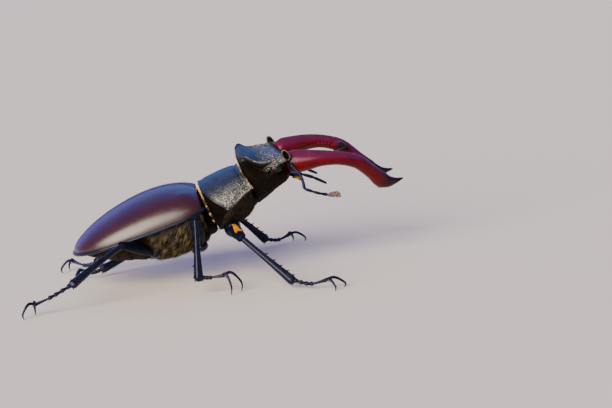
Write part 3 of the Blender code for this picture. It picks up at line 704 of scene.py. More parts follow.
def make_trunk(chest_material, belly_material):
    """The chest, creased underneath along its middle and sides, and the belly behind the waist."""
    angles = angles_round(TRUNK_SIDES)
    bm = bmesh.new()
    rings = [[trunk_point(WAIST + CHEST_LENGTH * step / 48, angle) for angle in angles] for step in range(49)]
    for along, half_width, top, bottom in CHEST_FRONT:
        section = [around(half_width, top, MARGIN_LEVEL, bottom, angle, SHELL_POWER, TRUNK_POWER)
                   for angle in angles]
        rings.append([Vector((along - 0.11 * up, across, up)) for across, up in section])
    add_skin(bm, rings, Vector((WAIST, 0, -1)), Vector((CHEST_FRONT[-1][0] + 0.1, 0, -0.5)))
    bm.normal_update()
    for vertex in bm.verts:
        if vertex.co.z < 0:
            midline = exp(-(vertex.co.y / 0.3) ** 2)
            seam = exp(-((abs(vertex.co.y) - 7.6 + 0.12 * vertex.co.x) / 0.25) ** 2)
            vertex.co -= vertex.normal * (0.25 * midline + 0.22 * seam)
    finish(bm, "chest", HIND_FRAME, chest_material, ["thorax"])

    bm = bmesh.new()
    rings = []
    for step in range(97):
        along = BELLY_START - BELLY_LENGTH * step / 96
        close = max(0.0, (step / 96 - 0.92) / 0.08)
        shrink = sqrt(1 - 0.9 * close ** 2)
        centre = Vector((along, 0, MARGIN_LEVEL - 1.0))
        rings.append([centre + (trunk_point(along, angle) - centre) * shrink for angle in angles])
    rings.reverse()
    add_skin(bm, rings, Vector((BELLY_START - BELLY_LENGTH - 0.1, 0, -0.6)), Vector((BELLY_START, 0, -1)))
    finish(bm, "belly", HIND_FRAME, belly_material, ["abdomen"])


def make_scutellum(shell_material):
    """The small shield between the fronts of the wing cases, domed and rounded to a point behind."""
    bm = bmesh.new()
    for vertex in add_ball(bm, (0, 0, 0), (1, 1, 1), 32):
        forward = vertex.co.x
        along = ELYTRA_FRONT - 1.35 + 1.75 * forward
        wide = SCUTELLUM_HALF_WIDTH * (0.28 + 0.66 * (forward + 1) / 2)
        level = elytra_top(min(along, ELYTRA_FRONT)) - 0.15
        vertex.co = (along, vertex.co.y * wide, level + 0.28 * vertex.co.z)
    finish(bm, "scutellum_plate", HIND_FRAME, shell_material, ["scutellum"])


# ---------------------------------------------------------------- prothorax

def prothorax_point(row, angle, shrink=1.0):
    """The skin of the prothorax, whose sides run ahead of its top, with a groove, bands and pits above."""
    along, half_width, top, side, bottom, ahead = row
    across, up = around(half_width * shrink, top * shrink, side, bottom, angle, 2.1, 1.5)
    share = (up - side) / (top - side) if up > side else (side - up) / (side - bottom)
    lean = ahead * max(0.0, 1 - share) ** 1.6
    if up > side:
        groove = 0.12 * exp(-(across / 0.35) ** 2)
        bands = 0.15 * (exp(-((along - 5.9) / 0.2) ** 2) + exp(-((along + 2.0) / 0.2) ** 2))
        pits = 0.2 * exp(-((abs(across) - 5.6) / 0.8) ** 2 - ((along - 1.4) / 0.7) ** 2)
        up -= groove + bands + pits
    return Vector((along + lean, across, up))


def prothorax_rows():
    """Close rows from the rear edge of the prothorax to its front."""
    return blend(PROTHORAX, 16)


def make_prothorax(shell_material, edge_material, neck_material):
    """The prothorax from the collar behind to its front, its raised edge, and the neck ahead of it."""
    rows = prothorax_rows()
    angles = angles_round(200)
    collar = [Vector((COLLAR[0], *around(*COLLAR[1:], angle, 2.1, 1.6))) for angle in angles]
    edge = [prothorax_point(rows[0], angle) for angle in angles]
    under_edge = [prothorax_point(rows[0], angle, 0.95) for angle in angles]
    rings = [collar]
    for step in range(1, 8):
        rings.append([start.lerp(end, step / 8) for start, end in zip(collar, under_edge)])
    rings += [under_edge, edge]
    rings += [[prothorax_point(row, angle) for angle in angles] for row in rows[1:]]
    bm = bmesh.new()
    skin = add_skin(bm, rings, Vector((COLLAR[0], 0, 0)), Vector((6.6, 0, 0)))
    dimple(bm, skin, 0.55, 0.1, where=lambda point: 0.25 + 0.75 * clamp((4.4 - point.z) / 2.5))
    edge_levels = sorted({round(row[0] + row[5], 1): row[3] for row in rows}.items())

    def underneath(point):
        edge_level = at(edge_levels, point.x)[1]
        behind_edge = point.x < -2.9 or (point.z < 4.0 and point.x < -2.2 + 0.55 * max(0.0, 4.0 - point.z))
        return 1.0 if behind_edge else clamp((edge_level - 0.1 - point.z) / 0.5)

    paint(bm, "under", underneath)
    # Pale specks on the lower flanks: partly short hair and partly painted glints of light.
    paint(bm, "dust", lambda point: clamp((4.0 - point.z) / 2.5) * (1 - underneath(point)))
    finish(bm, "prothorax_shell", FORE_FRAME, shell_material, ["prothorax"])

    front, rear = rows[-1], rows[0]
    loop = [prothorax_point(row, pi) for row in rows]
    loop += [prothorax_point(front, pi - pi * step / 48) for step in range(1, 48)]
    loop += [prothorax_point(row, 0.0) for row in reversed(rows)]
    loop += [prothorax_point(rear, pi * step / 48) for step in range(1, 48)]
    bm = bmesh.new()
    add_limb(bm, [(*point, 0.17) for point in loop + [loop[0]]], 10)
    # Painted highlight: a pale line along the lower front of the raised edge.
    paint(bm, "edge", lambda point: 0.8 * clamp((point.x - 2.0) / 2.0) * (point.z < 2.0))
    finish(bm, "prothorax_edge", FORE_FRAME, edge_material)

    bm = bmesh.new()
    add_ball(bm, NECK_PLACE, NECK_SIZE, 40)
    finish(bm, "neck", FORE_FRAME, neck_material)


# ---------------------------------------------------------------- head

def head_section(row):
    """Half a section of the head, from the crown over the ridge and the hollow to the throat."""
    crown, wide, ridge, hollow_out, hollow_up, cheek_out, cheek_up, throat = row[3:]
    return [
        (0.0, crown),
        (0.3 * wide, crown - 0.05),
        (0.62 * wide, 0.55 * crown + 0.45 * ridge - 0.15),
        (wide - 1.15, ridge - 0.35),
        (wide - 0.5, ridge),
        (wide, ridge - 0.5),
        (wide - 0.55, ridge - 1.0),
        (hollow_out, hollow_up),
        (cheek_out - 0.4, (hollow_up + cheek_up) / 2),
        (cheek_out, cheek_up),
        (0.86 * cheek_out, 0.45 * cheek_up + 0.55 * throat),
        (0.5 * cheek_out, 0.12 * cheek_up + 0.88 * throat),
        (0.0, throat),
    ]


def head_ring(row):
    """A whole section of the head, leaning back with its height and turned to one side."""
    along, lean, turn = row[:3]
    half = blend(head_section(row), SECTION_STEPS)
    outline = [(out, up) for out, up in half] + [(-out, up) for out, up in reversed(half[1:-1])]
    ring = []
    for out, up in outline:
        leaning = lean * (min(up, LEAN_LEVEL) + max(0.0, up - LEAN_LEVEL) / 3)
        ring.append(Vector((along - leaning + turn * out, out, up)))
    return ring


def make_head(shell_material, eye_material):
    """The head with its horns, both eyes and the upper lip."""
    rows = blend(HEAD, 8)
    rings = [head_ring(row) for row in rows]
    tail = sum(rings[0], Vector()) / len(rings[0])
    nose = sum(rings[-1], Vector()) / len(rings[-1]) + Vector((0.3, 0, 0))
    bm = bmesh.new()
    skin = add_skin(bm, rings, tail, nose)
    dimple(bm, skin, 0.62, 0.2, 3.0)
    for _, side in SIDES:
        add_horn(bm, side)
    ridge_line = kdtree.KDTree(2 * len(rings))
    for number, ring in enumerate(rings):
        ridge_line.insert(ring[5 * SECTION_STEPS], 2 * number)
        ridge_line.insert(ring[-5 * SECTION_STEPS], 2 * number + 1)
    ridge_line.balance()

    def horn_distance(point):
        """How far out on a horn's face a place is, with 1 on its rim, and how far ahead and outward."""
        rise, out = point.z - HORN_PLACE[2], abs(point.y) - HORN_PLACE[1]
        ahead = point.x - HORN_PLACE[0] + 0.35 * rise
        return sqrt((ahead / HORN_SIZE[0]) ** 2 + (rise / HORN_SIZE[1]) ** 2), ahead, out

    # Painted highlights: a pale line along the ridge of the head and round the horns' rims, brightest on
    # their front halves.
    def painted_edge_highlight(point):
        ridge = 0.35 * exp(-(ridge_line.find(point)[2] / 0.18) ** 2) * (-3.0 < point.x < 1.5)
        around_horn, ahead, out = horn_distance(point)
        rim = (0.8 if ahead > 0 else 0.35) * exp(-((around_horn - 1.1) / 0.12) ** 2) * (out > -0.3)
        return max(ridge, rim)

    # The underside of the head, and painted shade: the same dark, dull mark covers the side below the ridge
    # at the rear, where the plate overhangs, and the hollow faces of the horns.
    def underside_and_painted_shade(point):
        share = clamp((point.x + 0.5) / 1.8)
        level = (ridge_line.find(point)[0].z - 0.45) * (1 - share) + (2.2 + 0.25 * point.x) * share
        around_horn, _, out = horn_distance(point)
        hollow = 1.0 if around_horn < 0.95 and out > -0.6 else 0.0
        return max(hollow, clamp((level - point.z) / 0.6))

    # Pale specks on the cheeks and the front of the plate: partly short hair and partly painted glints of
    # light.
    def dust_and_glints_at(point):
        cheek = exp(-((point.z - 1.4 - 0.35 * point.x) / 0.9) ** 2) / (1 + exp(-3.0 * point.x))
        plate = (point.z > 2.8) * clamp((point.x + 2.0) / 3.0)
        near_horn = horn_distance(point)[0] < 1.3
        return 0.0 if near_horn else max(cheek, plate)

    paint(bm, "edge", painted_edge_highlight)
    paint(bm, "under", underside_and_painted_shade)
    paint(bm, "dust", dust_and_glints_at)
    finish(bm, "head_shell", SKULL_FRAME, shell_material, ["head"])
    for name, side in SIDES:
        bm = bmesh.new()
        add_ball(bm, (EYE_PLACE[0], side * EYE_PLACE[1], EYE_PLACE[2]), EYE_SIZE, 40)
        finish(bm, "eye_ball_" + name, SKULL_FRAME, eye_material, ["eye_" + name])
    bm = bmesh.new()
    for vertex in add_ball(bm, (0, 0, 0), (1, 1, 1), 32):
        forward = vertex.co.x
        wide = 2.5 - 1.0 * (forward + 1)
        vertex.co = (6.2 + 1.1 * forward, vertex.co.y * wide, 2.3 + 0.6 * vertex.co.z - 0.2 * forward)
    finish(bm, "upper_lip", SKULL_FRAME, shell_material, ["labrum"])


def add_horn(bm, side):
    """The ear-like lobe before an eye: a rim round a hollow face, with a flange down to the jaw's root."""
    along, out, up = HORN_PLACE
    long, high = HORN_SIZE
    loop = []
    for step in range(25):
        angle = tau * step / 24
        ahead, rise = long * cos(angle), high * sin(angle)
        loop.append((along + ahead - 0.35 * rise, side * (out + 0.12 * rise), up + rise, 0.15))
    add_limb(bm, loop, 10)
    face = add_ball(bm, (0, 0, 0), (long, 0.2, high), 20)
    for vertex in face:
        rise = vertex.co.z
        vertex.co += Vector((along - 0.35 * rise, side * (out - 0.4 + 0.12 * rise), up))
    flange = [(along + 0.4, side * (out - 0.15), up - 0.1, 0.4), (5.3, side * 7.3, 3.4, 0.42),
              (5.9, side * 6.4, 2.7, 0.4)]
    add_limb(bm, blend(flange, 8), 14)
    brow = [(along - 0.2, side * (out - 0.4), up - 0.9, 0.65), (2.8, side * 7.7, 2.65, 0.8),
            (1.1, side * 7.9, 1.8, 0.8), (-0.8, side * 7.8, 0.9, 0.5)]
    rough = add_limb(bm, blend(brow, 10), 20)
    dimple(bm, rough, 0.35, 0.2, 7.0)
    add_ball(bm, (along - 0.4, side * (out - 1.3), up - 0.9), (1.2, 1.3, 0.8), 20)


# ---------------------------------------------------------------- jaws, feelers and palps

def jaw_rings(rows, side):
    """Oval sections that stay upright as the jaw bows out and curves down, with a keel on top."""
    rings = []
    last = len(rows) - 1
    for index, (along, out, up, half_width, half_height) in enumerate(rows):
        ahead = Vector(rows[min(index + 1, last)][:3])
        behind = Vector(rows[max(index - 1, 0)][:3])
        forward = (ahead - behind).normalized()
        outward = Vector((0, side, 0))
        outward = (outward - forward * outward.dot(forward)).normalized()
        upward = outward.cross(forward) * -side
        centre = Vector((along, out, up))
        ring = []
        for angle in angles_round(48):
            wide = half_width * (1.0 if cos(angle) > 0 else 0.9)
            keel = 1 + 0.09 * exp(-((angle - pi / 2) / 0.3) ** 2)
            ring.append(centre + outward * wide * cos(angle) + upward * half_height * keel * sin(angle))
        rings.append(ring)
    return rings


def make_jaw(name, side, jaw_material):
    """A jaw with its tooth, its tine and a row of denticles."""
    rows = blend(mirrored(JAW, side), 10)
    rings = jaw_rings(rows, side)
    bm = bmesh.new()
    add_skin(bm, rings, Vector(rows[0][:3]), Vector(rows[-1][:3]) + Vector((0.15, 0, 0)))
    tooth = blend(mirrored(JAW_TOOTH, side), 8)
    tine = blend(mirrored(JAW_TINE, side), 8)
    add_limb(bm, tooth, 20)
    add_limb(bm, tine, 20)
    first, last, count = DENTICLES
    for step in range(count):
        row = at(rows, first + (last - first) * step / (count - 1))
        root = Vector((row[0], row[1] - side * row[3] * 0.8, row[2] - 0.1))
        add_ball(bm, root, (0.36, 0.42, 0.3), 12)
    tips = [Vector(rows[-1][:3]), Vector(tooth[-1][:3]), Vector(tine[-1][:3])]

    def dark(point):
        tip = max(max(0.0, 1 - (point - end).length / reach) for end, reach in zip(tips, JAW_DARK_REACH))
        # Painted shade: the jaw's root beside the head is darkened as if in the shadow of its socket.
        root = clamp((7.3 - point.x) / 1.6) * clamp(side * point.y - 6.2)
        return max(tip, 0.6 * root)

    paint(bm, "tip", dark)
    bmesh.ops.recalc_face_normals(bm, faces=bm.faces)
    bm.normal_update()
    # How far each place faces up, where the material paints the jaw violet as a reflection of the sky above.
    layer = bm.verts.layers.float.new("upward")
    for vertex in bm.verts:
        vertex[layer] = clamp((vertex.normal.z - 0.1) / 0.6)
    finish(bm, "jaw_" + name, HEAD_FRAME, jaw_material, ["mandible_" + name])


def beaded(rows, beads):
    """Rows along a limb whose radius swells toward the end of each of its joints."""
    narrow, swell = 0.72, 0.35  # shares of the radius
    smooth = blend(rows, 24)
    made = []
    for index, row in enumerate(smooth):
        t = index / (len(smooth) - 1) * beads % 1.0
        made.append((*row[:3], row[3] * (narrow + swell * sin(pi * min(t * 0.9, 1.0)) ** 0.6)))
    return made


def make_feeler(name, side, leg_material, club_material):
    """A feeler: its long first joint, the beads after it and a club of plates."""
    bm = bmesh.new()
    add_limb(bm, blend(mirrored(SCAPE, side), 12), 16)
    finish(bm, "feeler_stem_" + name, HEAD_FRAME, leg_material, ["antenna_scape_" + name])
    bm = bmesh.new()
    add_limb(bm, beaded(mirrored(FUNICLE, side), 3), 14)
    finish(bm, "feeler_beads_" + name, HEAD_FRAME, leg_material, ["antenna_funicle_" + name])
    start, end = (Vector(point) for point in mirrored(CLUB, side))
    bm = bmesh.new()
    add_limb(bm, [(*start, 0.26), (*end, 0.2)], 12)
    turn = Euler((0.0, radians(PLATE_LEAN), radians(-PLATE_TURN * side))).to_matrix()
    for place, reach in CLUB_PLATES:
        disc = add_ball(bm, (0, 0, 0), (0.34, 0.45 + 0.15 * reach, reach), 20)
        bmesh.ops.rotate(bm, verts=disc, cent=(0, 0, 0), matrix=turn)
        bmesh.ops.translate(bm, verts=disc, vec=start.lerp(end, place) + Vector((0.1, 0, 0.55 * reach - 0.2)))

    # Paler toward the tip, the club's own colour, and paler higher up, a painted light from above.
    def pale(point):
        forward = (point.x - start.x) / (end.x - start.x)
        return 0.5 * forward + 0.25 * (point.z - start.z + 0.5)

    paint(bm, "tip", pale)
    finish(bm, "feeler_club_" + name, HEAD_FRAME, club_material, ["antenna_club_" + name])


def make_palps(name, side, leg_material):
    """One palp of the inner jaws and one of the lower lip."""
    bm = bmesh.new()
    add_limb(bm, beaded(mirrored(JAW_PALP, side), 3), 14)
    finish(bm, "jaw_palp_" + name, HEAD_FRAME, leg_material, ["maxillary_palp_" + name])
    bm = bmesh.new()
    add_limb(bm, beaded(mirrored(LIP_PALP, side), 2), 14)
    finish(bm, "lip_palp_" + name, HEAD_FRAME, leg_material, ["labial_palp_" + name])


# ---------------------------------------------------------------- legs

def leg_bend(coxa, knee, ankle):
    """The direction, square to the shin, that its outer edge faces."""
    thigh_way = (knee - coxa).normalized()
    shin_way = (ankle - knee).normalized()
    return (thigh_way - shin_way * thigh_way.dot(shin_way)).normalized()


def bowed(start, end, outer, bow, radii):
    """Rows along one part of a leg that bows outward, with these radii at even steps."""
    rows = []
    for step, radius in enumerate(radii):
        t = step / (len(radii) - 1)
        rows.append((*(start.lerp(end, t) + outer * bow * sin(pi * t)), radius))
    return rows


def make_thigh(name, coxa, knee, ankle, leg_material):
    """The thigh with the trochanter near its root and the two knobs of the knee's hinge."""
    outer = leg_bend(coxa, knee, ankle)
    bm = bmesh.new()
    add_limb(bm, blend(bowed(coxa, knee, outer, THIGH_BOW, THIGH_RADII), 10), 32, flat=0.86, upward=outer)
    add_ball(bm, coxa.lerp(knee, 0.16), (0.95, 0.95, 0.95), 20)
    hinge = (knee - coxa).cross(outer).normalized()
    for way in (-1, 1):
        add_ball(bm, knee + hinge * (0.5 * way), (0.62, 0.62, 0.62), 16)
    finish(bm, "thigh_" + name, WHOLE_FRAME, leg_material, ["femur_" + name])


def make_shin(name, coxa, knee, ankle, leg_material):
    """The ribbed shin with its outer thorns and the two spurs at its end."""
    outer = leg_bend(coxa, knee, ankle)
    way = (ankle - knee).normalized()
    rows = bowed(knee, ankle, outer, SHIN_BOW, [radius * SHIN_SWELL for radius in SHIN_RADII])
    bm = bmesh.new()
    add_limb(bm, blend(rows, 12), 48, flat=0.85, ribs=5, rib_depth=0.055, upward=outer)
    add_ball(bm, knee, (0.74, 0.74, 0.74), 20)
    pair = name.split("_")[0]
    lean = radians(THORN_LEAN[pair]) * (-1 if coxa.y > 0 else 1)
    edge = Matrix.Rotation(lean, 3, way) @ outer
    for t in THORN_PLACES[pair]:
        size = 0.75 + 0.3 * t
        root = knee.lerp(ankle, t) + outer * (SHIN_BOW * sin(pi * t)) + edge * 0.35
        add_spike(bm, root, root + edge * size + way * size * 0.75, 0.26, -way * 0.12)
    square = way.cross(outer)
    for turn in (-1, 1):
        root = ankle + square * 0.5 * turn
        add_spike(bm, root, root + way * 1.1 + square * 0.45 * turn - outer * 0.3, 0.22)
    finish(bm, "shin_" + name, WHOLE_FRAME, leg_material, ["tibia_" + name])


def make_foot(name, ankle, arch, claws, leg_material):
    """Four short joints, each flared and bristled at its end, then the long claw joint and the claws."""
    route = blend([tuple(ankle), *arch], 30)
    count = len(route) - 1
    bm = bmesh.new()
    for number, (start, end) in enumerate(zip(FOOT_JOINTS, FOOT_JOINTS[1:])):
        short = number < 4
        part = route[round(start * count):round(end * count) + 1]
        rows = []
        for index, point in enumerate(part):
            t = index / (len(part) - 1)
            radius = 0.24 + (0.26 if short else 0.2) * t ** 1.5
            rows.append((*point, radius))
        add_limb(bm, rows, 16)
        heading = (Vector(part[-1]) - Vector(part[0])).normalized()
        square = heading.cross(Vector((0, 0, 1))).normalized()
        if short:
            for turn in (-1, 1):
                root = Vector(part[-1]) + square * 0.22 * turn
                tip = root + heading * 0.42 + square * 0.24 * turn + Vector((0, 0, -0.42))
                add_spike(bm, root, tip, 0.09, sides=6)
    last = Vector(route[-1])
    for claw_x, claw_y in claws:
        ahead = (Vector((claw_x, claw_y, last.z)) - last).normalized()
        root = last - ahead * 0.2
        middle_point = (last + Vector((claw_x, claw_y, last.z))) / 2 + Vector((0, 0, 0.42))
        rows = [(*root, 0.34), (*middle_point, 0.31),
                (claw_x + 0.15 * ahead.x, claw_y + 0.15 * ahead.y, last.z * 0.5, 0.22),
                (claw_x, claw_y, 0.08, 0.07)]
        add_limb(bm, blend(rows, 8), 14)
    onychium = (Vector((*claws[0], 0)) + Vector((*claws[1], 0))) / 2
    tip = last.lerp(Vector((onychium.x, onychium.y, last.z * 0.6)), 0.45)
    add_spike(bm, last, tip, 0.12, sides=6)
    for vertex in bm.verts:
        vertex.co.z = max(vertex.co.z, 0.0)
    finish(bm, "foot_" + name, WHOLE_FRAME, leg_material, ["tarsus_" + name])


def make_leg(name, joints, leg_material, thigh_material):
    """A whole leg, from its hip to its claws."""
    coxa, knee, ankle = (Vector(point) for point in joints[:3])
    arch, claws = joints[3], joints[4:]
    bm = bmesh.new()
    add_ball(bm, coxa, COXA_SIZE[name.split("_")[0]], 32)
    finish(bm, "hip_" + name, WHOLE_FRAME, leg_material, ["coxa_" + name])
    make_thigh(name, coxa, knee, ankle, thigh_material)
    make_shin(name, coxa, knee, ankle, leg_material)
    make_foot(name, ankle, arch, claws, leg_material)


# ---------------------------------------------------------------- hair

class Coat:
    """Locks of hair gathered into one mesh. Each is a thin bent cone with its root on a skin."""

    def __init__(self, name, part_frame):
        self.name = name
        self.part_frame = part_frame
        self.draw = np.random.default_rng(HAIR_SEEDS[name])
        self.locks = []

    def add(self, root, out, lie, length, width, on_skin, lift=0.5, sag=0.35, shade=None):
        """One lock: its root, the skin's outward way, the way it lies and its place on the unwrapped skin."""
        out = Vector(out).normalized()
        lie = Vector(lie)
        lie = (lie - out * lie.dot(out)).normalized()
        jitter = self.draw.normal(0.0, 1.0, 3)
        side = out.cross(lie)
        lie = (lie + side * 0.18 * jitter[0]).normalized()
        size = length * (1 + 0.18 * jitter[1])
        self.locks.append((*root, *out, *lie, size, width, lift * (1 + 0.3 * jitter[2]), sag, *on_skin,
                           self.draw.random() if shade is None else shade))

    @staticmethod
    def lock_shape():
        """One straight lock of unit length along X, as points and triangles."""
        bm = bmesh.new()
        bmesh.ops.create_cone(bm, cap_ends=True, segments=3, radius1=0.5, radius2=0.05, depth=1.0)
        long_edges = [edge for edge in bm.edges if abs(edge.verts[0].co.z - edge.verts[1].co.z) > 0.5]
        bmesh.ops.subdivide_edges(bm, edges=long_edges, cuts=2)
        bmesh.ops.triangulate(bm, faces=bm.faces)
        bmesh.ops.recalc_face_normals(bm, faces=bm.faces)
        points = np.array([(vertex.co.z + 0.5, vertex.co.x, vertex.co.y) for vertex in bm.verts])
        faces = np.array([[vertex.index for vertex in face.verts] for face in bm.faces])
        bm.free()
        return points, faces

    def finish(self, material, slot):
        """Bends and places all the locks at once. Their values are split in the order that add() keeps."""
        points, faces = self.lock_shape()
        root, out, lie, size, width, lift, sag, on_skin, shades = np.split(
            np.array(self.locks)[:, None], (3, 6, 9, 10, 11, 12, 13, 15), axis=2)
        side = np.cross(out, lie)
        along, across, thick = (points[None, :, axis:axis + 1] for axis in range(3))
        placed_points = (root + lie * size * along + out * size * (lift * along - sag * along ** 2 - 0.03)
                         + side * width * across + out * width * thick)
        matrix = np.array(Matrix.Scale(MM, 4) @ placed(self.part_frame))
        flat = placed_points.reshape(-1, 3) @ matrix[:3, :3].T + matrix[:3, 3]
        count = len(self.locks)
        all_faces = (faces[None] + len(points) * np.arange(count)[:, None, None]).reshape(-1, 3)
        mesh = bpy.data.meshes.new(self.name)
        mesh.from_pydata(flat.tolist(), [], all_faces.tolist())
        shade = mesh.attributes.new("shade", "FLOAT", "POINT")
        shade.data.foreach_set("value", np.repeat(shades, len(points)).astype(np.float32))
        growth = mesh.attributes.new("along", "FLOAT", "POINT")
        growth.data.foreach_set("value", np.tile(points[:, 0], count).astype(np.float32))
        spots = on_skin + LOCK_SPOT * (points[None, :, :2] - (0.5, 0.0))
        corners = np.clip(spots.reshape(-1, 2), 0.0, 1.0)[all_faces.ravel()]
        unwrap = mesh.uv_layers.new(name="OFBake")
        unwrap.data.foreach_set("uv", corners.astype(np.float32).ravel())
        add_piece(self.name, mesh, material)


def skin_root(point_at, along, angle):
    """A place on a skin that runs round the middle line, and the skin's outward way there."""
    root = point_at(along, angle)
    one = point_at(along + 0.01, angle) - root
    other = point_at(along, angle + 0.01) - root
    out = one.cross(other).normalized()
    if out.dot(root - Vector((along, 0, 0))) < 0:
        out = -out
    return root, out


def unwrapped(along, angle, span):
    """Where that place lies on the unwrapped skin, from 0 to 1 both ways."""
    start, length = span
    return (along - start) / length, (angle % tau) / tau


def grow_chest(count, material):
    """Hair under the chest, in clumps and swirls."""
    coat = Coat("chest_hair", HIND_FRAME)
    for _ in range(count):
        along = coat.draw.uniform(WAIST - 0.2, 0.9)
        angle = coat.draw.uniform(pi - 0.05, tau + 0.05)
        root, out = skin_root(trunk_point, along, angle)
        swirl = noise.noise(root / 1.6)
        lie = Vector((-0.8 + 0.9 * swirl, 0.15 * copysign(1, root.y), -0.8))
        on_skin = unwrapped(along, angle, TRUNK_SPAN)
        clump = noise.noise(Vector((root.x * 2.2 + root.z * 0.9, root.y * 1.5, root.z * 0.6)))
        shade = clamp(0.5 + 1.1 * clump + 0.12 * coat.draw.normal())
        coat.add(root, out, lie, 1.35 * (1 + 0.5 * swirl), 0.11, on_skin, lift=0.5, sag=0.3, shade=shade)
    coat.finish(material, "belly")


def grow_belly(count, material):
    """Short hair along the ends of the belly's plates."""
    coat = Coat("belly_hair", HIND_FRAME)
    for _ in range(count):
        end = SEGMENT_ENDS[int(coat.draw.integers(0, len(SEGMENT_ENDS)))]
        along = end + abs(coat.draw.normal(0.0, 0.5)) + 0.1
        angle = coat.draw.uniform(pi + 0.05, tau - 0.05)
        root, out = skin_root(trunk_point, along, angle)
        on_skin = unwrapped(along, angle, TRUNK_SPAN)
        coat.add(root, out, (-1.0, 0.0, -0.1), 0.8, 0.07, on_skin, lift=0.3, sag=0.2)
    coat.finish(material, "belly")


def grow_prothorax(count, material):
    """Hair on the underside of the prothorax."""
    coat = Coat("prothorax_hair", FORE_FRAME)
    rows = prothorax_rows()

    def point_at(along, angle):
        return prothorax_point(at(rows, along), angle)

    for _ in range(count):
        along = coat.draw.uniform(-2.6, 6.6)
        angle = coat.draw.uniform(pi + 0.15, tau - 0.15)
        root, out = skin_root(point_at, along, angle)
        on_skin = unwrapped(along, angle, PROTHORAX_SPAN)
        coat.add(root, out, (-0.6, 0.0, -1.0), 0.9, 0.08, on_skin, lift=0.5, sag=0.3)
    coat.finish(material, "shell_under")


def grow_fringe(name, row, lie, length, count, material, reach, gaps):
    """A close fringe along one edge of the prothorax, over its back to a reach past each side, with gaps."""
    coat = Coat(name, FORE_FRAME)
    for _ in range(count):
        angle = coat.draw.uniform(-reach, pi + reach)
        from_top = abs(angle - pi / 2) / (pi / 2)
        clump = noise.noise(Vector((angle * 5.0, HAIR_SEEDS[name], 0.0)))
        fullness = 1.0 - gaps * clamp((from_top - 0.35) / 0.3) * (clump < 0.12)
        if coat.draw.random() > fullness:
            continue
        root = prothorax_point(row, angle)
        out = Vector((0, root.y, root.z - row[3] + 2)).normalized()
        root = root - out * 0.22 * coat.draw.random()
        on_skin = unwrapped(row[0], angle, PROTHORAX_SPAN)
        coat.add(root, out, lie, length * (0.8 + 0.6 * max(clump, 0.0)), 0.08, on_skin, lift=0.1, sag=0.2)
    coat.finish(material, "shell")


def grow_thigh_patch(name, joints, count, material):
    """The bright patch of close hair on the upper face of a fore thigh, wider toward the knee."""
    coat = Coat("thigh_patch_" + name, WHOLE_FRAME)
    coxa, knee = Vector(joints[0]), Vector(joints[1])
    way = (knee - coxa).normalized()
    upper = Vector((-0.25, 0.0, 1.0))
    upper = (upper - way * upper.dot(way)).normalized()
    square = way.cross(upper)
    radii = [(step / (len(THIGH_RADII) - 1), radius) for step, radius in enumerate(THIGH_RADII)]
    for _ in range(count):
        t = coat.draw.triangular(0.05, 0.75, 0.88)
        swing = (0.04 + 0.95 * t * t) * coat.draw.uniform(-1, 1)
        out = upper * cos(swing) + square * sin(swing)
        root = coxa.lerp(knee, t) + out * at(radii, t)[1]
        coat.add(root, out, way, 0.5, 0.09, (t, swing / tau + 0.5), lift=0.25, sag=0.15)
    coat.finish(material, "leg")


def grow_mouth(count, material):
    """The brush of the inner jaws, under the mouth."""
    coat = Coat("mouth_brush", HEAD_FRAME)
    for _ in range(count):
        side = copysign(1.0, coat.draw.uniform(-1, 1))
        spread = coat.draw.normal(0.0, 0.16, 3)
        root = Vector((7.2 + spread[0], side * 1.6 + spread[1], -2.7 + spread[2] * 0.6))
        coat.add(root, (0.1, 0.1 * side, 0.8), (1.0, 0.1 * side, -0.5), 1.25, 0.09,
                 (0.5 + spread[0] * 0.3, 0.5 + spread[1] * 0.3), lift=0.1, sag=0.2)
    coat.finish(material, "shell")


# ---------------------------------------------------------------- stage

def make_stage(settings):
    """A wide pale floor."""
    pale = Finish("stage_pale", 0.85, Base_Color=(*settings.floor_colour, 1.0))
    bm = bmesh.new()
    bmesh.ops.create_circle(bm, cap_ends=True, segments=128, radius=settings.floor_radius)
    mesh = bpy.data.meshes.new("stage_floor")
    bm.to_mesh(mesh)
    bm.free()
    mesh.materials.append(pale.material)
    floor = add_object("stage_floor", mesh)


def direction(azimuth, elevation):
    """The way there from the animal, by angles in radians. Azimuth 0 is at its right, pi / 2 at its front."""
    return Vector((sin(azimuth) * cos(elevation), -cos(azimuth) * cos(elevation), sin(elevation)))


def add_light(name, azimuth, elevation, spread, strength, colour):
    """Light from a wide soft disc far away, for angles in degrees."""
    back = direction(radians(azimuth), radians(elevation))
    light = bpy.data.lights.new(name, "SUN")
    light.angle = radians(spread)
    light.energy = strength
    light.color = colour
    lamp = add_object(name, light)
    lamp.location = back
    lamp.rotation_mode = "QUATERNION"
    lamp.rotation_quaternion = (-back).to_track_quat("-Z", "Y")


def make_world(settings):
    """Even light all round that turns blue toward the far side and the sky above it."""
    world = bpy.data.worlds.new("soft_studio")
    bpy.context.scene.world = world
    world.use_nodes = True
    tree = world.node_tree
    shade = tree.nodes["Background"]
    shade.inputs["Strength"].default_value = settings.world_strength
    coordinates = tree.nodes.new("ShaderNodeTexCoord")
    toward = tree.nodes.new("ShaderNodeVectorMath")
    toward.operation = "DOT_PRODUCT"
    toward.inputs[1].default_value = (0.0, cos(BLUE_ELEVATION), sin(BLUE_ELEVATION))
    ramp = tree.nodes.new("ShaderNodeValToRGB")
    elements = ramp.color_ramp.elements
    for place, colour in WORLD_COLOURS[1:-1]:
        elements.new(place)
    for element, (place, colour) in zip(elements, WORLD_COLOURS):
        element.position = place
        element.color = (*colour, 1.0)
    tree.links.new(coordinates.outputs["Generated"], toward.inputs[0])
    tree.links.new(toward.outputs["Value"], ramp.inputs["Fac"])
    tree.links.new(ramp.outputs["Color"], shade.inputs["Color"])


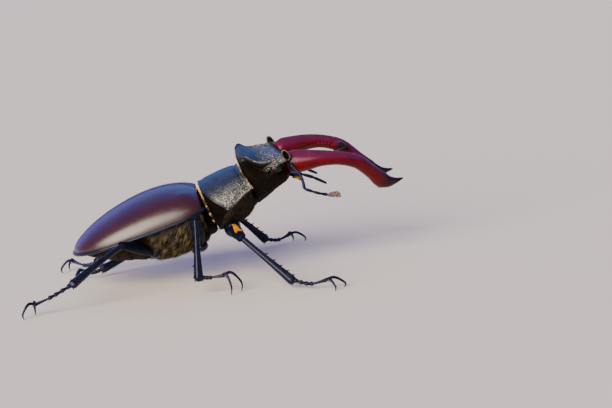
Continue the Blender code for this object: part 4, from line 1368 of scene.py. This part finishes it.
def make_camera(settings):
    """The camera, which looks back along its direction from the animal, rolled about its view."""
    aim = (DRAWING_ZERO + Vector(settings.aim)) * MM
    azimuth, roll = settings.azimuth, settings.roll
    back = direction(azimuth, settings.elevation)
    level = Vector((cos(azimuth), sin(azimuth), 0.0))
    upright = back.cross(level)
    right = level * cos(roll) - upright * sin(roll)
    up = level * sin(roll) + upright * cos(roll)
    data = bpy.data.cameras.new("camera")
    data.lens = settings.lens
    data.sensor_width = 36.0
    data.clip_start, data.clip_end = 0.01, 50.0
    camera = add_object("camera", data)
    camera.rotation_mode = "QUATERNION"
    camera.rotation_quaternion = Matrix((right, up, back)).transposed().to_quaternion()
    camera.location = aim + back * settings.distance
    bpy.context.scene.camera = camera


# ---------------------------------------------------------------- settings

def colour_property(name, description, default):
    return FloatVectorProperty(name=name, description=description, default=default, subtype="COLOR",
                               size=3, min=0.0, max=1.0)


def count_property(name, description, default):
    return IntProperty(name=name, description=description, default=default, min=1, max=9000)


class BeetleColours(bpy.types.PropertyGroup):
    """Colours of the shell, the jaws and the hair."""

    wing_case: colour_property("Wing case", "Flank of the wing cases", (0.02, 0.002, 0.008))
    # A painted sky sheen: the violet that the wing cases turn toward the seam.
    wing_case_seam: colour_property("Wing case seam", "Wing cases beside the seam", (0.034, 0.011, 0.046))
    shell: colour_property("Shell", "Head, prothorax and scutellum", (0.008, 0.012, 0.02))
    rim: colour_property("Rim", "Outer rims of the wing cases", (0.003, 0.006, 0.012))
    # Partly short hair and partly painted glints: the pale specks on the head and the prothorax.
    dust: colour_property("Dust", "Specks of short hair on the head and the prothorax", (0.27, 0.27, 0.24))
    leg: colour_property("Leg", "Legs, feelers and palps", (0.003, 0.004, 0.011))
    jaw: colour_property("Jaw", "Jaws", (0.064, 0.0006, 0.0011))
    # Painted sky reflection: the violet that the upper faces of the jaws are painted with.
    jaw_top: colour_property("Jaw top", "Upper faces of the jaws", (0.07, 0.008, 0.034))
    jaw_tip: colour_property("Jaw tip", "Tips and teeth of the jaws", (0.006, 0.004, 0.006))
    eye: colour_property("Eye", "Eyes", (0.008, 0.006, 0.006))
    # Also painted as shade on the head, below its ridge and in the horns' hollows.
    under: colour_property("Underside", "Undersides, chest shell and neck", (0.0025, 0.0017, 0.0013))
    belly: colour_property("Belly", "Belly plates", (0.012, 0.006, 0.004))
    club: colour_property("Feeler club", "Plates of the feelers at their tips", (0.2, 0.115, 0.065))
    club_root: colour_property("Feeler club root", "Plates of the feelers at their roots",
                               (0.05, 0.03, 0.075))
    # Painted highlights along the head's ridge, the horns' rims and the prothorax's lower front edge.
    edge: colour_property("Pale edge", "Edges of the head, horns and prothorax", (0.2, 0.19, 0.165))
    hair: colour_property("Hair", "Hair on the chest", (0.07, 0.05, 0.026))
    dark_hair: colour_property("Dark hair", "Hair on the belly and under the prothorax", (0.03, 0.019, 0.011))
    fringe: colour_property("Fringe", "Fringes of the prothorax", (1.0, 0.74, 0.36))
    patch: colour_property("Patch", "Patch on the fore thighs and the mouth's brush", (0.8, 0.34, 0.002))


class BeetleHair(bpy.types.PropertyGroup):
    """How many locks of hair grow where."""

    chest: count_property("Chest", "Locks on the chest", 6500)
    belly: count_property("Belly", "Locks on the belly", 1800)
    prothorax: count_property("Prothorax", "Locks under the prothorax", 2200)
    fringe: count_property("Fringe", "Locks tried for each fringe, before its gaps", 1100)
    patch: count_property("Patch", "Locks in the patch on each fore thigh", 1100)
    brush: count_property("Brush", "Locks in the mouth's brush", 260)


class BeetleStage(bpy.types.PropertyGroup):
    """Floor, lights and camera."""

    floor_colour: colour_property("Floor", "Colour of the floor", (0.72, 0.67, 0.60))
    floor_radius: FloatProperty(name="Floor radius", description="How far the floor reaches",
                                default=8.0, unit="LENGTH")
    world_strength: FloatProperty(name="World strength", description="Brightness of the light all round",
                                  default=1.3, min=0.0)
    lens: FloatProperty(name="Lens", description="Focal length in millimetres", default=100.0, min=10.0)
    distance: FloatProperty(name="Distance", description="From the camera to what it aims at",
                            default=0.3818, unit="LENGTH")
    azimuth: FloatProperty(name="Azimuth", description="Way round the animal from its right side",
                           default=radians(-5.0), subtype="ANGLE")
    elevation: FloatProperty(name="Elevation", description="Height of the camera's view above level",
                             default=radians(10.0), subtype="ANGLE")
    roll: FloatProperty(name="Roll", description="Tilt of the camera about its view",
                        default=radians(5.3), subtype="ANGLE")
    aim: FloatVectorProperty(name="Aim", description="Where the camera aims, in the drawing's millimetres",
                             default=(0.0, 0.0, 13.886), size=3)


# ---------------------------------------------------------------- operators

class BEETLE_OT_wing_cases(bpy.types.Operator):
    """Make both wing cases and their rims"""

    bl_idname = "beetle.wing_cases"
    bl_label = "Wing Cases"

    def execute(self, context):
        satin = wing_case_finish()
        rim = gloss_finish("rim_gloss", "rim", 0.3, 0.2)
        for name, side in SIDES:
            make_wing_case(name, side, satin)
            make_rim(name, side, rim)
        return {"FINISHED"}


class BEETLE_OT_trunk(bpy.types.Operator):
    """Make the chest, the belly and the scutellum"""

    bl_idname = "beetle.trunk"
    bl_label = "Chest and Belly"

    def execute(self, context):
        make_trunk(matte_finish("chest_shell", "under"), matte_finish("belly_plates", "belly"))
        make_scutellum(shell_finish("scutellum_satin", 0.3, 0.05, 0.34))
        return {"FINISHED"}


class BEETLE_OT_prothorax(bpy.types.Operator):
    """Make the prothorax, its raised edge and the neck"""

    bl_idname = "beetle.prothorax"
    bl_label = "Prothorax"

    def execute(self, context):
        make_prothorax(shell_finish("prothorax_satin", 0.4, 0.09, 0.36),
                       shell_finish("edge_satin", 0.4, 0.03, 0.3), matte_finish("neck_membrane", "under"))
        return {"FINISHED"}


class BEETLE_OT_head(bpy.types.Operator):
    """Make the head, the eyes and the upper lip"""

    bl_idname = "beetle.head"
    bl_label = "Head"

    def execute(self, context):
        make_head(shell_finish("head_satin", 0.42, 0.12, 0.4), eye_finish())
        return {"FINISHED"}


class BEETLE_OT_jaws(bpy.types.Operator):
    """Make both jaws with their teeth"""

    bl_idname = "beetle.jaws"
    bl_label = "Jaws"

    def execute(self, context):
        gloss = jaw_finish()
        for name, side in SIDES:
            make_jaw(name, side, gloss)
        return {"FINISHED"}


class BEETLE_OT_feelers(bpy.types.Operator):
    """Make the feelers and the palps"""

    bl_idname = "beetle.feelers"
    bl_label = "Feelers and Palps"

    def execute(self, context):
        gloss = gloss_finish("feeler_gloss", "leg", 0.3)
        club = club_finish()
        for name, side in SIDES:
            make_feeler(name, side, gloss, club)
            make_palps(name, side, gloss)
        return {"FINISHED"}


class BEETLE_OT_legs(bpy.types.Operator):
    """Make the six legs"""

    bl_idname = "beetle.legs"
    bl_label = "Legs"

    def execute(self, context):
        gloss = gloss_finish("leg_gloss", "leg", 0.24, tint=(0.6, 0.6, 0.95))
        thigh = gloss_finish("thigh_gloss", "leg", 0.42, ior=1.14)
        for name, joints in LEGS.items():
            make_leg(name, joints, gloss, thigh)
        return {"FINISHED"}


class BEETLE_OT_hair(bpy.types.Operator):
    """Grow the hair under the body, the fringes and the bright patches"""

    bl_idname = "beetle.hair"
    bl_label = "Hair"

    def execute(self, context):
        counts = context.scene.beetle_hair
        brown = hair_finish("body_hair", "hair", CLUMPED)
        dark = hair_finish("dark_hair", "dark_hair", CLUMPED)
        gold = hair_finish("fringe_hair", "fringe", EVEN)
        orange = hair_finish("patch_hair", "patch", EVEN, 0.0)
        grow_chest(counts.chest, brown)
        grow_belly(counts.belly, dark)
        grow_prothorax(counts.prothorax, dark)
        front, collar = PROTHORAX[-1], (*COLLAR, 0.0)
        grow_fringe("neck_fringe", front, (1.0, 0.0, 0.1), 0.4, counts.fringe, gold, reach=0.15, gaps=0.5)
        grow_fringe("waist_fringe", collar, (-1.0, 0.0, 0.1), 0.6, counts.fringe, gold, reach=0.6, gaps=0.85)
        for name in ("front_right", "front_left"):
            grow_thigh_patch(name, LEGS[name], counts.patch, orange)
        grow_mouth(counts.brush, orange)
        return {"FINISHED"}


class BEETLE_OT_stage(bpy.types.Operator):
    """Make the floor, the lights and the camera"""

    bl_idname = "beetle.stage"
    bl_label = "Stage"

    def execute(self, context):
        settings = context.scene.beetle_stage
        make_stage(settings)
        make_world(settings)
        add_light("key", **KEY_LIGHT)
        make_camera(settings)
        return {"FINISHED"}


class BEETLE_PT_panel(bpy.types.Panel):
    """Beetle tools in the sidebar"""

    bl_label = "Stag Beetle"
    bl_idname = "BEETLE_PT_panel"
    bl_space_type = "VIEW_3D"
    bl_region_type = "UI"
    bl_category = "Beetle"

    def draw(self, context):
        layout = self.layout
        for operator in OPERATORS:
            layout.operator(operator.bl_idname)
        for settings in (context.scene.beetle_colours, context.scene.beetle_hair, context.scene.beetle_stage):
            box = layout.box()
            for name in settings.__annotations__:
                box.prop(settings, name)


OPERATORS = (
    BEETLE_OT_wing_cases,
    BEETLE_OT_trunk,
    BEETLE_OT_prothorax,
    BEETLE_OT_head,
    BEETLE_OT_jaws,
    BEETLE_OT_feelers,
    BEETLE_OT_legs,
    BEETLE_OT_hair,
    BEETLE_OT_stage,
)
CLASSES = (BeetleColours, BeetleHair, BeetleStage, *OPERATORS, BEETLE_PT_panel)


def register():
    for entry in CLASSES:
        bpy.utils.register_class(entry)
    bpy.types.Scene.beetle_colours = PointerProperty(type=BeetleColours)
    bpy.types.Scene.beetle_hair = PointerProperty(type=BeetleHair)
    bpy.types.Scene.beetle_stage = PointerProperty(type=BeetleStage)


def unregister():
    del bpy.types.Scene.beetle_stage
    del bpy.types.Scene.beetle_hair
    del bpy.types.Scene.beetle_colours
    for entry in reversed(CLASSES):
        bpy.utils.unregister_class(entry)


def main():
    register()
    for operator in OPERATORS:
        category, action = operator.bl_idname.split(".")
        getattr(getattr(bpy.ops, category), action)()


if __name__ == "__main__":
    main()
